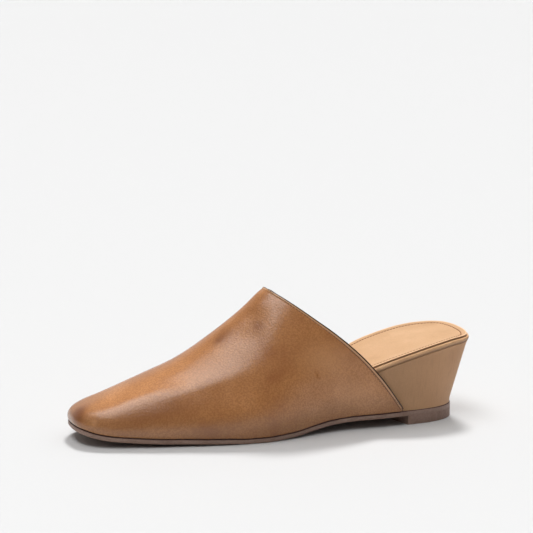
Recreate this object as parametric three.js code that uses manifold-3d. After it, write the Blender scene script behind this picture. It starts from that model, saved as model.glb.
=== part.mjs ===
// A woman's left mule on a covered wedge: a closed square-toed vamp that leaves the heel free,
// lasted over a low wedge, with a thin leather outsole and a heel lift.
// Millimetres. The toe points along -X, the outer side of the foot faces -Y, and +Z is up.
import * as THREE from "three";
import { mergeVertices } from "three/addons/utils/BufferGeometryUtils.js";
import Module from "manifold-3d";

// Overall sizes
const LENGTH = 260.5; // back of the seat to the tip of the toe
const BALL_WIDTH = 82; // across the joints, at the feather line
const WAIST_WIDTH = 56; // the narrowest place, under the arch
const HEEL_BASE_WIDTH = 60; // the foot of the wedge, at its widest
const TOE_WIDTH = 50; // across the toe, just behind its corners
const INSTEP_HEIGHT = 90; // floor to the top of the last at the instep
const HEEL_HEIGHT = 52.8; // floor to the top of the insole at its back end
const SEAT_EDGE_RISE = 1.1; // how much higher the seat's inner edge stands than its outer one
const SEAT_DISH = 1.6; // how deep the seat is cupped
const SEAT_MARGIN = 14; // how far in from the insole's edge the seat slopes down into the cup
const HEEL_UNDERCUT = 9.4; // how far the wedge's foot lies in from the back of the seat
const TOE_OVERHANG = 1.3; // how far the toe of the upper leans out over the sole
const TOE_SPRING = 8.2; // height of the sole's underside at the toe tip
const BREAST_SLANT = 14; // degrees that the lift's front face runs forward to the inner side

// Thicknesses and fits
const OUTSOLE_THICKNESS = 3.2;
const LIFT_HEIGHT = 6; // the heel lift under the outsole
const INSOLE_THICKNESS = 3.2; // board in its leather wrap
const SOCK_THICKNESS = 1.2; // stitched leather sock on the insole
const UPPER_WALL = 1.8; // vamp leather and its lining
const FIT_GAP = 0.3; // between pieces that touch
const FEATHER_RADIUS = 1.1; // of the turn where the upper goes under at the feather line
const SOCK_INSET = 1.8; // the sock's edge in from the insole's edge
const WEDGE_INSET = 0.5; // the wedge's side in from the insole's edge
const SOLE_EDGE = 0.5; // how far the outsole stands out past the wedge at the heel
const SOLE_CHAMFER = 0.6; // softened edges of the sole and the lift
const SOLE_BEVEL = 1; // bevel along the outsole's lower edge, ahead of the lift
const SOLE_ARRIS = 0.15; // what is left of that bevel where the lift covers it
const WRAP_RADIUS = 1.1; // rounded edge of the wrapped insole
const SOCK_ROUND = 0.4; // softened edge of the sock
const WEDGE_TIP_THICKNESS = 1.0; // the blunt front edge of the wedge

// Places along the shoe, as shares of its length from the back of the seat
const BREAST_AT = 0.18; // front face of the heel lift, on the outer side
const TREAD_REST = 0.58; // the sole lies flat on the floor here
const THROAT_AT = 0.512; // top of the topline, on the crest
const TOPLINE_ENDS = 0.2; // where the topline meets the sole
const TOE_TURN = 0.9; // the toe's corners start here
const HEEL_TURN = 0.19; // the wedge's foot starts to round off here
const CREST_ENDS = 0.895; // the ribs of the toe fan out from here
const CREST_ENDS_AT_HEEL = 0.16; // and those of the heel from here
const FAN_BLEND = 0.045; // how gently the fans begin
const STRAIGHT_UP_TO = 0.2; // behind this, the last's sides are straight
const ROUND_FROM = 0.42; // ahead of this, they are wholly round
const INSOLE_LEVELS = 0.66; // the insole lies flat on the sole ahead of this
const SOLE_EDGE_BLEND = 0.03; // how far the sole's edge takes to come out past the wedge

const TOE_SQUARENESS = 2.7; // 2 is an ellipse, more is squarer
const HEEL_SQUARENESS = 2.55; // the same, of the heel

// In the tables, at is a place along the shoe, as a share of its length from the back of the seat.
// Plan of the feather line. shift moves a section towards the inner side of the foot.
const PLAN = [
  { at: 0.0, width: HEEL_BASE_WIDTH, shift: 0.002 },
  { at: 0.14, width: HEEL_BASE_WIDTH, shift: 0.002 },
  { at: 0.25, width: HEEL_BASE_WIDTH, shift: 0.001 },
  { at: 0.34, width: WAIST_WIDTH, shift: -0.002 },
  { at: 0.43, width: WAIST_WIDTH * 1.11, shift: -0.003 },
  { at: 0.49, width: BALL_WIDTH * 0.86, shift: -0.002 },
  { at: 0.55, width: BALL_WIDTH * 0.95, shift: 0.002 },
  { at: 0.62, width: BALL_WIDTH, shift: 0.012 },
  { at: 0.68, width: BALL_WIDTH * 0.99, shift: 0.019 },
  { at: 0.74, width: BALL_WIDTH * 0.94, shift: 0.0245 },
  { at: 0.8, width: BALL_WIDTH * 0.87, shift: 0.027 },
  { at: 0.87, width: TOE_WIDTH * 1.24, shift: 0.028 },
  { at: 0.94, width: TOE_WIDTH * 1.04, shift: 0.03 },
  { at: 1.0, width: TOE_WIDTH * 0.94, shift: 0.034 },
];

// Height of the outsole's underside over the floor. It rests under the ball and on the lift.
const TREAD = [
  { at: 0.0, height: LIFT_HEIGHT },
  { at: 0.2, height: LIFT_HEIGHT },
  { at: 0.28, height: LIFT_HEIGHT * 0.94 },
  { at: 0.33, height: LIFT_HEIGHT * 0.9 },
  { at: 0.39, height: LIFT_HEIGHT * 0.74 },
  { at: 0.44, height: LIFT_HEIGHT * 0.42 },
  { at: 0.48, height: LIFT_HEIGHT * 0.17 },
  { at: 0.52, height: LIFT_HEIGHT * 0.07 },
  { at: 0.55, height: 0 },
  { at: 0.61, height: 0 },
  { at: 0.65, height: TOE_SPRING * 0.07 },
  { at: 0.7, height: TOE_SPRING * 0.115 },
  { at: 0.76, height: TOE_SPRING * 0.19 },
  { at: 0.82, height: TOE_SPRING * 0.25 },
  { at: 0.88, height: TOE_SPRING * 0.37 },
  { at: 0.94, height: TOE_SPRING * 0.56 },
  { at: 1.0, height: TOE_SPRING },
];

// Crest of the last, as shares of the instep height. Behind the throat it is the last's own.
const CREST = [
  { at: 0.0, height: 1.1, shift: 0.002 },
  { at: 0.3, height: 1.3, shift: 0.004 },
  { at: 0.43, height: 1.16, shift: 0.008 },
  { at: 0.512, height: 1.0, shift: 0.012 },
  { at: 0.569, height: 0.845, shift: 0.016 },
  { at: 0.644, height: 0.678, shift: 0.02 },
  { at: 0.722, height: 0.529, shift: 0.024 },
  { at: 0.8, height: 0.43, shift: 0.027 },
  { at: 0.877, height: 0.346, shift: 0.028 },
  { at: 0.954, height: 0.259, shift: 0.03 },
];

// Shape of the sections. lean is the outward slope of the side above the feather line, in degrees;
// side and crown say how full the section is there and at the crest.
const SECTIONS = [
  { at: 0.04, outerLean: 15.6, innerLean: 15.6, side: 0.4, crown: 0.4 },
  { at: 0.075, outerLean: 8.7, innerLean: 8.7, side: 0.4, crown: 0.4 },
  { at: 0.16, outerLean: 5.8, innerLean: 5.8, side: 0.4, crown: 0.4 },
  { at: 0.3, outerLean: 6, innerLean: 6, side: 0.42, crown: 0.36 },
  { at: 0.45, outerLean: 9, innerLean: 11, side: 0.42, crown: 0.4 },
  { at: 0.56, outerLean: 9, innerLean: 9, side: 0.42, crown: 0.43 },
  { at: 0.68, outerLean: 8, innerLean: 8, side: 0.44, crown: 0.52 },
  { at: 0.82, outerLean: 8, innerLean: 8, side: 0.5, crown: 0.66 },
  { at: 1.0, outerLean: 7, innerLean: 7, side: 0.49, crown: 0.62 },
];

// Side view of the topline. at is the share of the way from its end at the sole to the throat,
// and rise the share of the height between them.
const TOPLINE = [
  { at: 0.0, rise: 0.024 },
  { at: 0.17, rise: 0.264 },
  { at: 0.33, rise: 0.456 },
  { at: 0.52, rise: 0.63 },
  { at: 0.71, rise: 0.78 },
  { at: 0.87, rise: 0.902 },
  { at: 1.0, rise: 1.0 },
];

// Rise of the insole over the flat forefoot, as shares of the whole rise to the seat.
const INSOLE_RISE = [
  { at: 0.0, rise: 1.0 },
  { at: 0.06, rise: 0.985 },
  { at: 0.12, rise: 0.935 },
  { at: 0.18, rise: 0.855 },
  { at: 0.24, rise: 0.758 },
  { at: 0.33, rise: 0.573 },
  { at: 0.42, rise: 0.37 },
  { at: 0.5, rise: 0.18 },
  { at: 0.58, rise: 0.045 },
  { at: INSOLE_LEVELS, rise: 0.0 },
];

// Mesh density
const HEEL_RIBS = 12;
const TOPLINE_RIBS = 16;
const VAMP_RIBS = 26;
const ROWS = 14; // from the feather line to the crest
const TUCK_ROWS = 2;
const OUTLINE_STEPS = 400; // fineness of the outline that the ribs are spaced along
const SEARCH_STEPS = 40; // halvings in a search for a height
const TOPLINE_CROWDING = 1.7; // how much closer together the ribs are behind the throat
const VAMP_CROWDING = 1.15; // and ahead of it
const WEDGE_LEVELS = 3; // bands in the wedge's side
const CUP_SHARES = [0.5, 1]; // rings of the cupped seat, as shares of its margin
const SPARE_RIBS = 3; // ribs that a piece is made longer by before it is cut
const MERGE_DISTANCE = 1e-4;
const SLOPE_STEP = 0.004; // share of a curve over which a direction is measured
const FOREFOOT_MARGIN = 0.4; // share of the seat's margin that the rings keep ahead of the seat

const { lerp, clamp, degToRad } = THREE.MathUtils;

// The insole lies against the upper's lining, this far inside the last's surface.
const INSOLE_SIDE = UPPER_WALL + FIT_GAP;

// A smooth curve through one column of a table, level with its first and last rows outside them.
function along(table, column, place) {
  const at = clamp(place, table[0].at, table.at(-1).at);
  let i = 0;
  while (i < table.length - 2 && at > table[i + 1].at) i++;
  const slope = (j) => {
    const low = table[Math.max(j - 1, 0)];
    const high = table[Math.min(j + 1, table.length - 1)];
    return (high[column] - low[column]) / (high.at - low.at);
  };
  const [a, b] = [table[i], table[i + 1]];
  const span = b.at - a.at;
  const t = (at - a.at) / span;
  const rise = b[column] - a[column];
  const start = slope(i) * span;
  const end = slope(i + 1) * span;
  return a[column] + t * (start + t * (3 * rise - 2 * start - end + t * (start + end - 2 * rise)));
}

const xAt = (station) => LENGTH * (0.5 - station);
const stationAt = (x) => 0.5 - x / LENGTH;

function smoothStep(from, to, value) {
  const t = clamp((value - from) / (to - from), 0, 1);
  return t * t * (3 - 2 * t);
}

const treadHeight = (station) => Math.max(0, along(TREAD, "height", station));
const soleTop = (station) => treadHeight(station) + OUTSOLE_THICKNESS;
const featherHeight = (station) => soleTop(station) + FIT_GAP;
const wallFoot = (station) => featherHeight(station) + FEATHER_RADIUS;

// How far a station belongs to the seat: 1 at the heel, 0 under the vamp.
const seatShare = (station) => 1 - smoothStep(STRAIGHT_UP_TO, ROUND_FROM, station);

// The insole lies on the outsole under the toes and rises from the ball to the seat.
const insoleFlat = (station) => featherHeight(Math.max(station, TREAD_REST)) + INSOLE_THICKNESS;
function insoleTop(station, y = 0) {
  const rise = (HEEL_HEIGHT - insoleFlat(TREAD_REST)) * along(INSOLE_RISE, "rise", station);
  const tilt = SEAT_EDGE_RISE * seatShare(station) * (y / HEEL_BASE_WIDTH + 0.5);
  return insoleFlat(station) + rise + tilt;
}
const insoleBottom = (station, y) => insoleTop(station, y) - INSOLE_THICKNESS;
const wedgeTop = (station, y) => insoleBottom(station, y) - FIT_GAP;

// Half of the feather line, from the back of the heel to the tip of the toe.
// side is -1 for the outer side of the foot and 1 for the inner side.
function halfOutline(side) {
  const back = (HEEL_UNDERCUT - INSOLE_SIDE) / LENGTH;
  const tip = 1 - TOE_OVERHANG / LENGTH;
  const points = [];
  for (let i = 0; i <= OUTLINE_STEPS; i++) {
    const sweep = (1 - Math.cos((Math.PI * i) / OUTLINE_STEPS)) / 2;
    const station = lerp(back, tip, sweep);
    const toeward = clamp((station - TOE_TURN) / (tip - TOE_TURN), 0, 1);
    const heelward = clamp((HEEL_TURN - station) / (HEEL_TURN - back), 0, 1);
    const roundToe = (1 - toeward ** TOE_SQUARENESS) ** (1 / TOE_SQUARENESS);
    const roundHeel = (1 - heelward ** HEEL_SQUARENESS) ** (1 / HEEL_SQUARENESS);
    const half = (along(PLAN, "width", station) / 2) * roundToe * roundHeel;
    points.push(new THREE.Vector2(xAt(station), along(PLAN, "shift", station) * LENGTH + side * half));
  }
  return points;
}

// Where along a half outline, as a share of its arc length, a station lies.
function arcShares(points) {
  const lengths = [0];
  for (let i = 1; i < points.length; i++) {
    lengths.push(lengths[i - 1] + points[i].distanceTo(points[i - 1]));
  }
  return lengths.map((length) => length / lengths.at(-1));
}

function pointAtShare(points, shares, share) {
  let i = 1;
  while (i < shares.length - 1 && shares[i] < share) i++;
  const t = (share - shares[i - 1]) / (shares[i] - shares[i - 1]);
  return points[i - 1].clone().lerp(points[i], clamp(t, 0, 1));
}

function shareAtStation(points, shares, station) {
  const x = xAt(station);
  let i = 1;
  while (i < points.length - 1 && points[i].x > x) i++;
  const t = (x - points[i - 1].x) / (points[i].x - points[i - 1].x);
  return lerp(shares[i - 1], shares[i], t);
}

// The feet of the ribs on one side, closest together just behind the throat, where the topline
// runs across the crest.
function ribFeet(side) {
  const points = halfOutline(side);
  const shares = arcShares(points);
  const end = shareAtStation(points, shares, TOPLINE_ENDS);
  const throat = shareAtStation(points, shares, THROAT_AT);
  const marks = [];
  for (let i = 0; i < HEEL_RIBS; i++) marks.push((end * i) / HEEL_RIBS);
  for (let i = 0; i < TOPLINE_RIBS; i++) {
    marks.push(lerp(throat, end, (1 - i / TOPLINE_RIBS) ** TOPLINE_CROWDING));
  }
  for (let i = 0; i <= VAMP_RIBS; i++) {
    marks.push(lerp(throat, 1, (i / VAMP_RIBS) ** VAMP_CROWDING));
  }
  return marks.map((share) => pointAtShare(points, shares, share));
}

// The crest stops short of the toe and of the heel, where the ribs fan out from its ends.
function crestStation(station) {
  const stop = (at, end) => {
    if (at < end - FAN_BLEND) return at;
    if (at > end + FAN_BLEND) return end;
    return at - (at - end + FAN_BLEND) ** 2 / (4 * FAN_BLEND);
  };
  return -stop(-stop(station, CREST_ENDS), -CREST_ENDS_AT_HEEL);
}

function crestPoint(station) {
  const height = along(CREST, "height", station) * INSTEP_HEIGHT;
  return new THREE.Vector3(xAt(station), along(CREST, "shift", station) * LENGTH, height);
}

// Slope of the crest, as rise for each millimetre towards the heel.
function crestSlope(station) {
  const ahead = crestPoint(station + SLOPE_STEP);
  const behind = crestPoint(station - SLOPE_STEP);
  return (ahead.z - behind.z) / (ahead.x - behind.x);
}

// One rib of the last, from its foot on the feather line to its place on the crest. It is a
// round curve under the vamp, and straight at the heel.
function makeRib(foot, outward, leanColumn, crestAt) {
  const station = stationAt(foot.x);
  const crest = crestPoint(crestAt);
  const slope = crestSlope(crestAt);
  const start = new THREE.Vector3(foot.x, foot.y, wallFoot(station));
  const rise = crest.z - start.z;
  const push = Math.tan(degToRad(along(SECTIONS, leanColumn, station)));
  const climb = new THREE.Vector3(outward.x * push, outward.y * push, 1);
  const side = start.clone().addScaledVector(climb, along(SECTIONS, "side", station) * rise);
  const across = start.clone().sub(crest).multiplyScalar(along(SECTIONS, "crown", station));
  const top = crest.clone().add(new THREE.Vector3(across.x, across.y, slope * across.x));
  const round = new THREE.CubicBezierCurve3(start, side, top, crest);
  const straight = start.clone().addScaledVector(climb, rise);
  const roundness = smoothStep(STRAIGHT_UP_TO, ROUND_FROM, station);
  const pointAt = (share) =>
    start.clone().lerp(straight, share).lerp(round.getPoint(share), roundness);
  const crestNormal = new THREE.Vector3(-slope, 0, 1).normalize();
  return { station, outward, start, pointAt, crestNormal };
}

// All the ribs in one loop: along the outer side from heel to toe, and back along the inner
// side. Two that face each other meet at the same place on the crest.
function makeRibs() {
  const outer = ribFeet(-1);
  const inner = ribFeet(1);
  const feet = [...outer, ...inner.slice(1, -1).reverse()];
  return feet.map((foot, i) => {
    const isOuter = i < outer.length;
    const pair = isOuter ? i : feet.length - i;
    const crestAt = crestStation((stationAt(outer[pair].x) + stationAt(inner[pair].x)) / 2);
    const before = feet[(i + feet.length - 1) % feet.length];
    const after = feet[(i + 1) % feet.length];
    const outward = new THREE.Vector2(before.y - after.y, after.x - before.x).normalize();
    return makeRib(foot, outward, isOuter ? "outerLean" : "innerLean", crestAt);
  });
}

const ribs = makeRibs();
const ribCount = ribs.length;
const toeRib = ribCount / 2;
const ribAt = (i) => ribs[(i + ribCount) % ribCount];

// Outward normal of the last at a share of a rib.
function normalAt(i, share) {
  if (share > 1 - SLOPE_STEP / 2) return ribAt(i).crestNormal.clone();
  const high = ribAt(i).pointAt(Math.min(share + SLOPE_STEP, 1));
  const up = high.sub(ribAt(i).pointAt(Math.max(share - SLOPE_STEP, 0)));
  const forward = ribAt(i + 1).pointAt(share).sub(ribAt(i - 1).pointAt(share));
  return up.cross(forward).normalize();
}

// A point of the last, moved inwards by a distance.
function insetPoint(i, share, inset) {
  return ribAt(i).pointAt(share).addScaledVector(normalAt(i, share), -inset);
}

// Where a rib, moved inwards, passes a surface whose height depends on the station and on y.
function atHeight(i, heightOf, inset) {
  const above = (point) => point.z - heightOf(stationAt(point.x), point.y);
  const foot = insetPoint(i, 0, inset);
  if (above(foot) >= 0) return foot.setZ(foot.z - above(foot));
  let [low, high] = [0, 1];
  for (let n = 0; n < SEARCH_STEPS; n++) {
    const middle = (low + high) / 2;
    if (above(insetPoint(i, middle, inset)) < 0) low = middle;
    else high = middle;
  }
  return insetPoint(i, high, inset);
}

// A ring of the last at a height: all of its ribs, or those from one rib on the inner side,
// around the heel, to the same rib on the outer side.
function ringAt(heightOf, insetOf, upTo = toeRib) {
  const ring = [];
  for (let i = -upTo; i <= upTo; i++) {
    if (i === -upTo && upTo === toeRib) continue;
    ring.push(atHeight(i, heightOf, insetOf(ribAt(i).station)));
  }
  return ring;
}

// A closed solid through a stack of rings with as many points each. Its top and bottom are
// bridged from side to side.
function loft(rings) {
  const count = rings[0].length;
  const positions = rings.flat().flatMap((point) => point.toArray());
  const faces = [];
  for (let r = 0; r < rings.length - 1; r++) {
    for (let i = 0; i < count; i++) {
      const [a, b] = [r * count + i, r * count + ((i + 1) % count)];
      faces.push(a, a + count, b, b, a + count, b + count);
    }
  }
  const cap = (base, flip) => {
    const add = (a, b, c) => faces.push(base + a, base + (flip ? c : b), base + (flip ? b : c));
    for (let low = 0, high = count - 1; low + 1 < high; low++, high--) {
      add(low, low + 1, high);
      if (low + 2 < high) add(low + 1, high - 1, high);
    }
  };
  cap(0, false);
  cap((rings.length - 1) * count, true);
  return solid(positions, faces);
}

function solid(positions, faces) {
  const geometry = new THREE.BufferGeometry();
  geometry.setAttribute("position", new THREE.Float32BufferAttribute(positions, 3));
  geometry.setIndex(faces);
  const merged = mergeVertices(geometry, MERGE_DISTANCE);
  const index = merged.index.array;
  const kept = [];
  for (let i = 0; i < index.length; i += 3) {
    const [a, b, c] = [index[i], index[i + 1], index[i + 2]];
    if (a !== b && b !== c && c !== a) kept.push(a, b, c);
  }
  merged.setIndex(kept);
  merged.computeVertexNormals();
  return merged;
}

const wasm = await Module();
wasm.setup();

function toManifold(geometry) {
  const bare = new THREE.BufferGeometry();
  bare.setAttribute("position", geometry.getAttribute("position"));
  bare.setIndex(geometry.index);
  const merged = mergeVertices(bare, MERGE_DISTANCE);
  const vertProperties = merged.getAttribute("position").array;
  const triVerts = new Uint32Array(merged.index.array);
  return new wasm.Manifold(new wasm.Mesh({ numProp: 3, vertProperties, triVerts }));
}

// What is left of a geometry inside a box.
function keepInside(geometry, box) {
  const mesh = toManifold(geometry).intersect(toManifold(box)).getMesh();
  return solid([...mesh.vertProperties], [...mesh.triVerts]);
}

// A block that holds everything behind an upright cut across the shoe. The cut starts on the
// outer side, and its slant runs it forward to the inner side.
function blockBehind(station, startY, slant) {
  const block = new THREE.BoxGeometry(LENGTH, LENGTH * 2, LENGTH);
  block.translate(LENGTH / 2, 0, 0);
  block.rotateZ(degToRad(slant));
  block.translate(xAt(station), startY, 0);
  return block;
}

// The share of a rib at which the topline crosses it.
function toplineShare(i) {
  const rib = ribAt(i);
  const way = (rib.station - TOPLINE_ENDS) / (THROAT_AT - TOPLINE_ENDS);
  if (way > 1 - MERGE_DISTANCE) return 1;
  const height = lerp(wallFoot(TOPLINE_ENDS), crestPoint(THROAT_AT).z, along(TOPLINE, "rise", way));
  let [low, high] = [0, 1];
  for (let n = 0; n < SEARCH_STEPS; n++) {
    const middle = (low + high) / 2;
    if (rib.pointAt(middle).z < height) low = middle;
    else high = middle;
  }
  return high;
}

// The upper: the last's own surface ahead of the topline, with a wall inside it.
function upperGeometry() {
  const positions = [];
  const faces = [];
  const rowCount = TUCK_ROWS + ROWS + 1;
  const columns = [];
  for (let i = HEEL_RIBS; i <= ribCount - HEEL_RIBS; i++) columns.push(i);
  const addSheet = (pointOf, flip) => {
    const base = positions.length / 3;
    for (const i of columns) {
      for (let row = 0; row < rowCount; row++) positions.push(...pointOf(i, row).toArray());
    }
    for (let c = 0; c < columns.length - 1; c++) {
      for (let row = 0; row < rowCount - 1; row++) {
        const a = base + c * rowCount + row;
        const [b, d, e] = [a + 1, a + rowCount, a + rowCount + 1];
        faces.push(...(flip ? [a, d, b, b, d, e] : [a, b, d, b, e, d]));
      }
    }
    return base;
  };
  const tops = new Map(columns.map((i) => [i, toplineShare(i)]));
  const shareOf = (i, row) => (tops.get(i) * (row - TUCK_ROWS)) / ROWS;
  const outerPoint = (i, row) => {
    if (row >= TUCK_ROWS) return ribAt(i).pointAt(shareOf(i, row));
    const turn = (Math.PI / 2) * (1 - row / TUCK_ROWS);
    const tuck = FEATHER_RADIUS * (1 - Math.cos(turn));
    const drop = FEATHER_RADIUS * Math.sin(turn);
    const { start, outward } = ribAt(i);
    return new THREE.Vector3(start.x - outward.x * tuck, start.y - outward.y * tuck, start.z - drop);
  };
  const innerPoint = (i, row) => {
    if (row >= TUCK_ROWS) return insetPoint(i, shareOf(i, row), UPPER_WALL);
    return insetPoint(i, 0, UPPER_WALL).setZ(outerPoint(i, row).z);
  };
  const outerBase = addSheet(outerPoint, false);
  const innerBase = addSheet(innerPoint, true);
  const rim = (a, b) => {
    const [c, d] = [a - outerBase + innerBase, b - outerBase + innerBase];
    faces.push(a, b, c, b, d, c);
  };
  const last = columns.length - 1;
  for (let c = 0; c < last; c++) {
    rim(c * rowCount, (c + 1) * rowCount);
    if (tops.get(columns[c]) < 1 || tops.get(columns[c + 1]) < 1) {
      rim((c + 1) * rowCount + rowCount - 1, c * rowCount + rowCount - 1);
    }
  }
  for (let row = 0; row < rowCount - 1; row++) {
    rim(row + 1, row);
    rim(last * rowCount + row, last * rowCount + row + 1);
  }
  return solid(positions, faces);
}

const raised = (heightOf, by) => (station, y) => heightOf(station, y) + by;
const even = (inset) => () => inset;

// A ring of the cupped seat. share is how far down the slope of its margin the ring lies.
function cupRing(heightOf, share) {
  const down = SEAT_DISH * Math.sin((Math.PI / 2) * share);
  const cupped = (station, y) => heightOf(station, y) - down * seatShare(station);
  const margin = (station) => SEAT_MARGIN * lerp(FOREFOOT_MARGIN, 1, seatShare(station));
  return ringAt(cupped, (station) => INSOLE_SIDE + margin(station) * share);
}

// The insole's wrapped edge is rounded.
function insoleGeometry() {
  const inFrom = (turn) => WRAP_RADIUS * (1 - Math.cos(turn));
  const downFrom = (turn) => WRAP_RADIUS * (1 - Math.sin(turn));
  const turns = [0, Math.PI / 4, Math.PI / 2];
  return loft([
    ringAt(insoleBottom, even(INSOLE_SIDE + WRAP_RADIUS / 2)),
    ringAt(raised(insoleBottom, WRAP_RADIUS / 2), even(INSOLE_SIDE)),
    ...turns.map((turn) => ringAt(raised(insoleTop, -downFrom(turn)), even(INSOLE_SIDE + inFrom(turn)))),
    ...CUP_SHARES.map((share) => cupRing(insoleTop, share)),
  ]);
}

function sockGeometry() {
  const bottom = raised(insoleTop, FIT_GAP);
  const top = raised(bottom, SOCK_THICKNESS);
  const side = INSOLE_SIDE + SOCK_INSET;
  return loft([
    ...CUP_SHARES.toReversed().map((share) => cupRing(bottom, share)),
    ringAt(bottom, even(side)),
    ringAt(raised(top, -SOCK_ROUND), even(side)),
    ringAt(top, even(side + SOCK_ROUND)),
    ...CUP_SHARES.map((share) => cupRing(top, share)),
  ]);
}

const WEDGE_SIDE = INSOLE_SIDE + WEDGE_INSET;

// The sole's edge changes where the upper ends: 0 at the heel, 1 under the upper.
const underUpper = (station) =>
  smoothStep(TOPLINE_ENDS - SOLE_EDGE_BLEND, TOPLINE_ENDS + SOLE_EDGE_BLEND, station);

// How far the sole's edge lies in from the last: under the upper it is nearly flush, and at
// the heel it stands out a little past the wedge.
const soleInset = (station) => lerp(WEDGE_SIDE - SOLE_EDGE, FIT_GAP, underUpper(station));
const bevelAt = (station) => lerp(SOLE_ARRIS, SOLE_BEVEL, underUpper(station));

// The last rib that lies behind a station.
function ribBefore(station) {
  let i = 0;
  while (i < toeRib && ribAt(i + 1).station < station) i++;
  return i;
}

const soleEdge = (extra) => (station) => soleInset(station) + extra;

function outsoleGeometry() {
  return loft([
    ringAt(treadHeight, (station) => soleInset(station) + bevelAt(station)),
    ringAt((station) => treadHeight(station) + bevelAt(station), soleEdge(0)),
    ringAt(raised(soleTop, -SOLE_CHAMFER / 2), soleEdge(0)),
    ringAt(soleTop, soleEdge(SOLE_CHAMFER / 2)),
  ]);
}

function liftGeometry() {
  const innerEnd = BREAST_AT + (HEEL_BASE_WIDTH / LENGTH) * Math.tan(degToRad(BREAST_SLANT));
  const upTo = ribBefore(innerEnd) + SPARE_RIBS;
  const form = loft([
    ringAt(() => 0, soleEdge(SOLE_CHAMFER), upTo),
    ringAt(() => SOLE_CHAMFER, soleEdge(0), upTo),
    ringAt(raised(treadHeight, -FIT_GAP), soleEdge(0), upTo),
  ]);
  return keepInside(form, blockBehind(BREAST_AT, -HEEL_BASE_WIDTH / 2, BREAST_SLANT));
}

// The wedge fills the room between the outsole and the insole, as far forward as it is thick
// enough to be made.
function wedgeGeometry() {
  let [thick, thin] = [BREAST_AT, INSOLE_LEVELS];
  for (let n = 0; n < SEARCH_STEPS; n++) {
    const middle = (thick + thin) / 2;
    if (wedgeTop(middle) - featherHeight(middle) > WEDGE_TIP_THICKNESS) thick = middle;
    else thin = middle;
  }
  const upTo = ribBefore(thick) + 1;
  const rings = [];
  for (let level = 0; level <= WEDGE_LEVELS; level++) {
    const height = (station, y) =>
      lerp(featherHeight(station), wedgeTop(station, y), level / WEDGE_LEVELS);
    rings.push(ringAt(height, even(WEDGE_SIDE), upTo));
  }
  return keepInside(loft(rings), blockBehind(thick, 0, 0));
}

const finish = (color, roughness) => new THREE.MeshStandardMaterial({ color, roughness, metalness: 0 });

function piece(name, geometry, material) {
  const mesh = new THREE.Mesh(geometry, material);
  mesh.name = name;
  return mesh;
}

const shoe = new THREE.Group();
shoe.name = "mule";
shoe.add(
  piece("upper", upperGeometry(), finish(0xa3713f, 0.42)),
  piece("insole", insoleGeometry(), finish(0xc79a66, 0.6)),
  piece("sock", sockGeometry(), finish(0xe0b483, 0.65)),
  piece("wedge", wedgeGeometry(), finish(0x93704f, 0.6)),
  piece("outsole", outsoleGeometry(), finish(0x65504a, 0.6)),
  piece("heel_lift", liftGeometry(), finish(0x62504a, 0.65)),
);

// The origin is on the floor, under the middle of the shoe's bounding box.
const bounds = new THREE.Box3().setFromObject(shoe);
const middle = bounds.getCenter(new THREE.Vector3());
shoe.position.set(-middle.x, -middle.y, -bounds.min.z);

export default shoe;
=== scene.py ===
# %% [markdown]
# # A left wedge mule, rebuilt in leather
# The shoe already exists as six plain solids, packed in one fixed frame: +Z is up, the toe points
# along -X and the outer side of the foot faces -Y. This lesson dresses those solids. Every piece
# here is worked out from the same last as the solids are, only finer, so nothing has to be fitted.

# %% The frame
import math

import bmesh
import bpy
import numpy as np
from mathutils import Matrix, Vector


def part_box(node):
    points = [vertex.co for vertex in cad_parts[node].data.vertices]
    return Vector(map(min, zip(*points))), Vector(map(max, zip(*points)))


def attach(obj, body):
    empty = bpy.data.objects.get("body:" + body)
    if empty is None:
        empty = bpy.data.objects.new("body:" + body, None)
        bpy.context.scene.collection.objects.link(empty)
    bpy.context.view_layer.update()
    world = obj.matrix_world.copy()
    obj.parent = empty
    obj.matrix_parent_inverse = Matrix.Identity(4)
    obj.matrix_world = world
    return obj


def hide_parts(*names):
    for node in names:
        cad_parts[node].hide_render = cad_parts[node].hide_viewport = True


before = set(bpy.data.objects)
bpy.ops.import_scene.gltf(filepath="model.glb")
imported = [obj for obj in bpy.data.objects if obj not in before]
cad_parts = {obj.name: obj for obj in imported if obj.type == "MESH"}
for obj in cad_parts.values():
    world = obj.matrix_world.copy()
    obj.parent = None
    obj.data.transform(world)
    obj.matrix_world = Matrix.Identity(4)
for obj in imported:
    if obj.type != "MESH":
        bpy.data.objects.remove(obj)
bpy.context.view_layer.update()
print("frame holds", sorted(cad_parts))

# %% [markdown]
# ## The last
# A shoemaker starts from a last, the wooden foot that the leather is pulled over. It could be
# sculpted, but a last is really a few measures and a few curves, so it is written that way here:
# named sizes in millimetres, and short tables whose rows are places along the shoe.

# %% Sizes of the shoe, in millimetres
MM = 0.001
LENGTH = 260.5
BALL_WIDTH = 82.0
WAIST_WIDTH = 56.0
HEEL_BASE_WIDTH = 60.0
TOE_WIDTH = 50.0
INSTEP_HEIGHT = 90.0
HEEL_HEIGHT = 52.8
SEAT_EDGE_RISE = 1.1
SEAT_DISH = 1.6
SEAT_MARGIN = 14.0
HEEL_UNDERCUT = 9.4
TOE_OVERHANG = 1.3
TOE_SPRING = 8.2
BREAST_SLANT = 14.0

OUTSOLE_THICKNESS = 3.2
LIFT_HEIGHT = 6.0
INSOLE_THICKNESS = 3.2
SOCK_THICKNESS = 1.2
UPPER_WALL = 1.8
FIT_GAP = 0.3
FEATHER_RADIUS = 1.1
SOCK_INSET = 1.8
WEDGE_INSET = 0.5
SOLE_EDGE = 0.5
SOLE_BEVEL = 1.0
SOLE_ARRIS = 0.15
WRAP_RADIUS = 1.1
INSOLE_SIDE = UPPER_WALL + FIT_GAP
WEDGE_SIDE = INSOLE_SIDE + WEDGE_INSET

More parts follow.
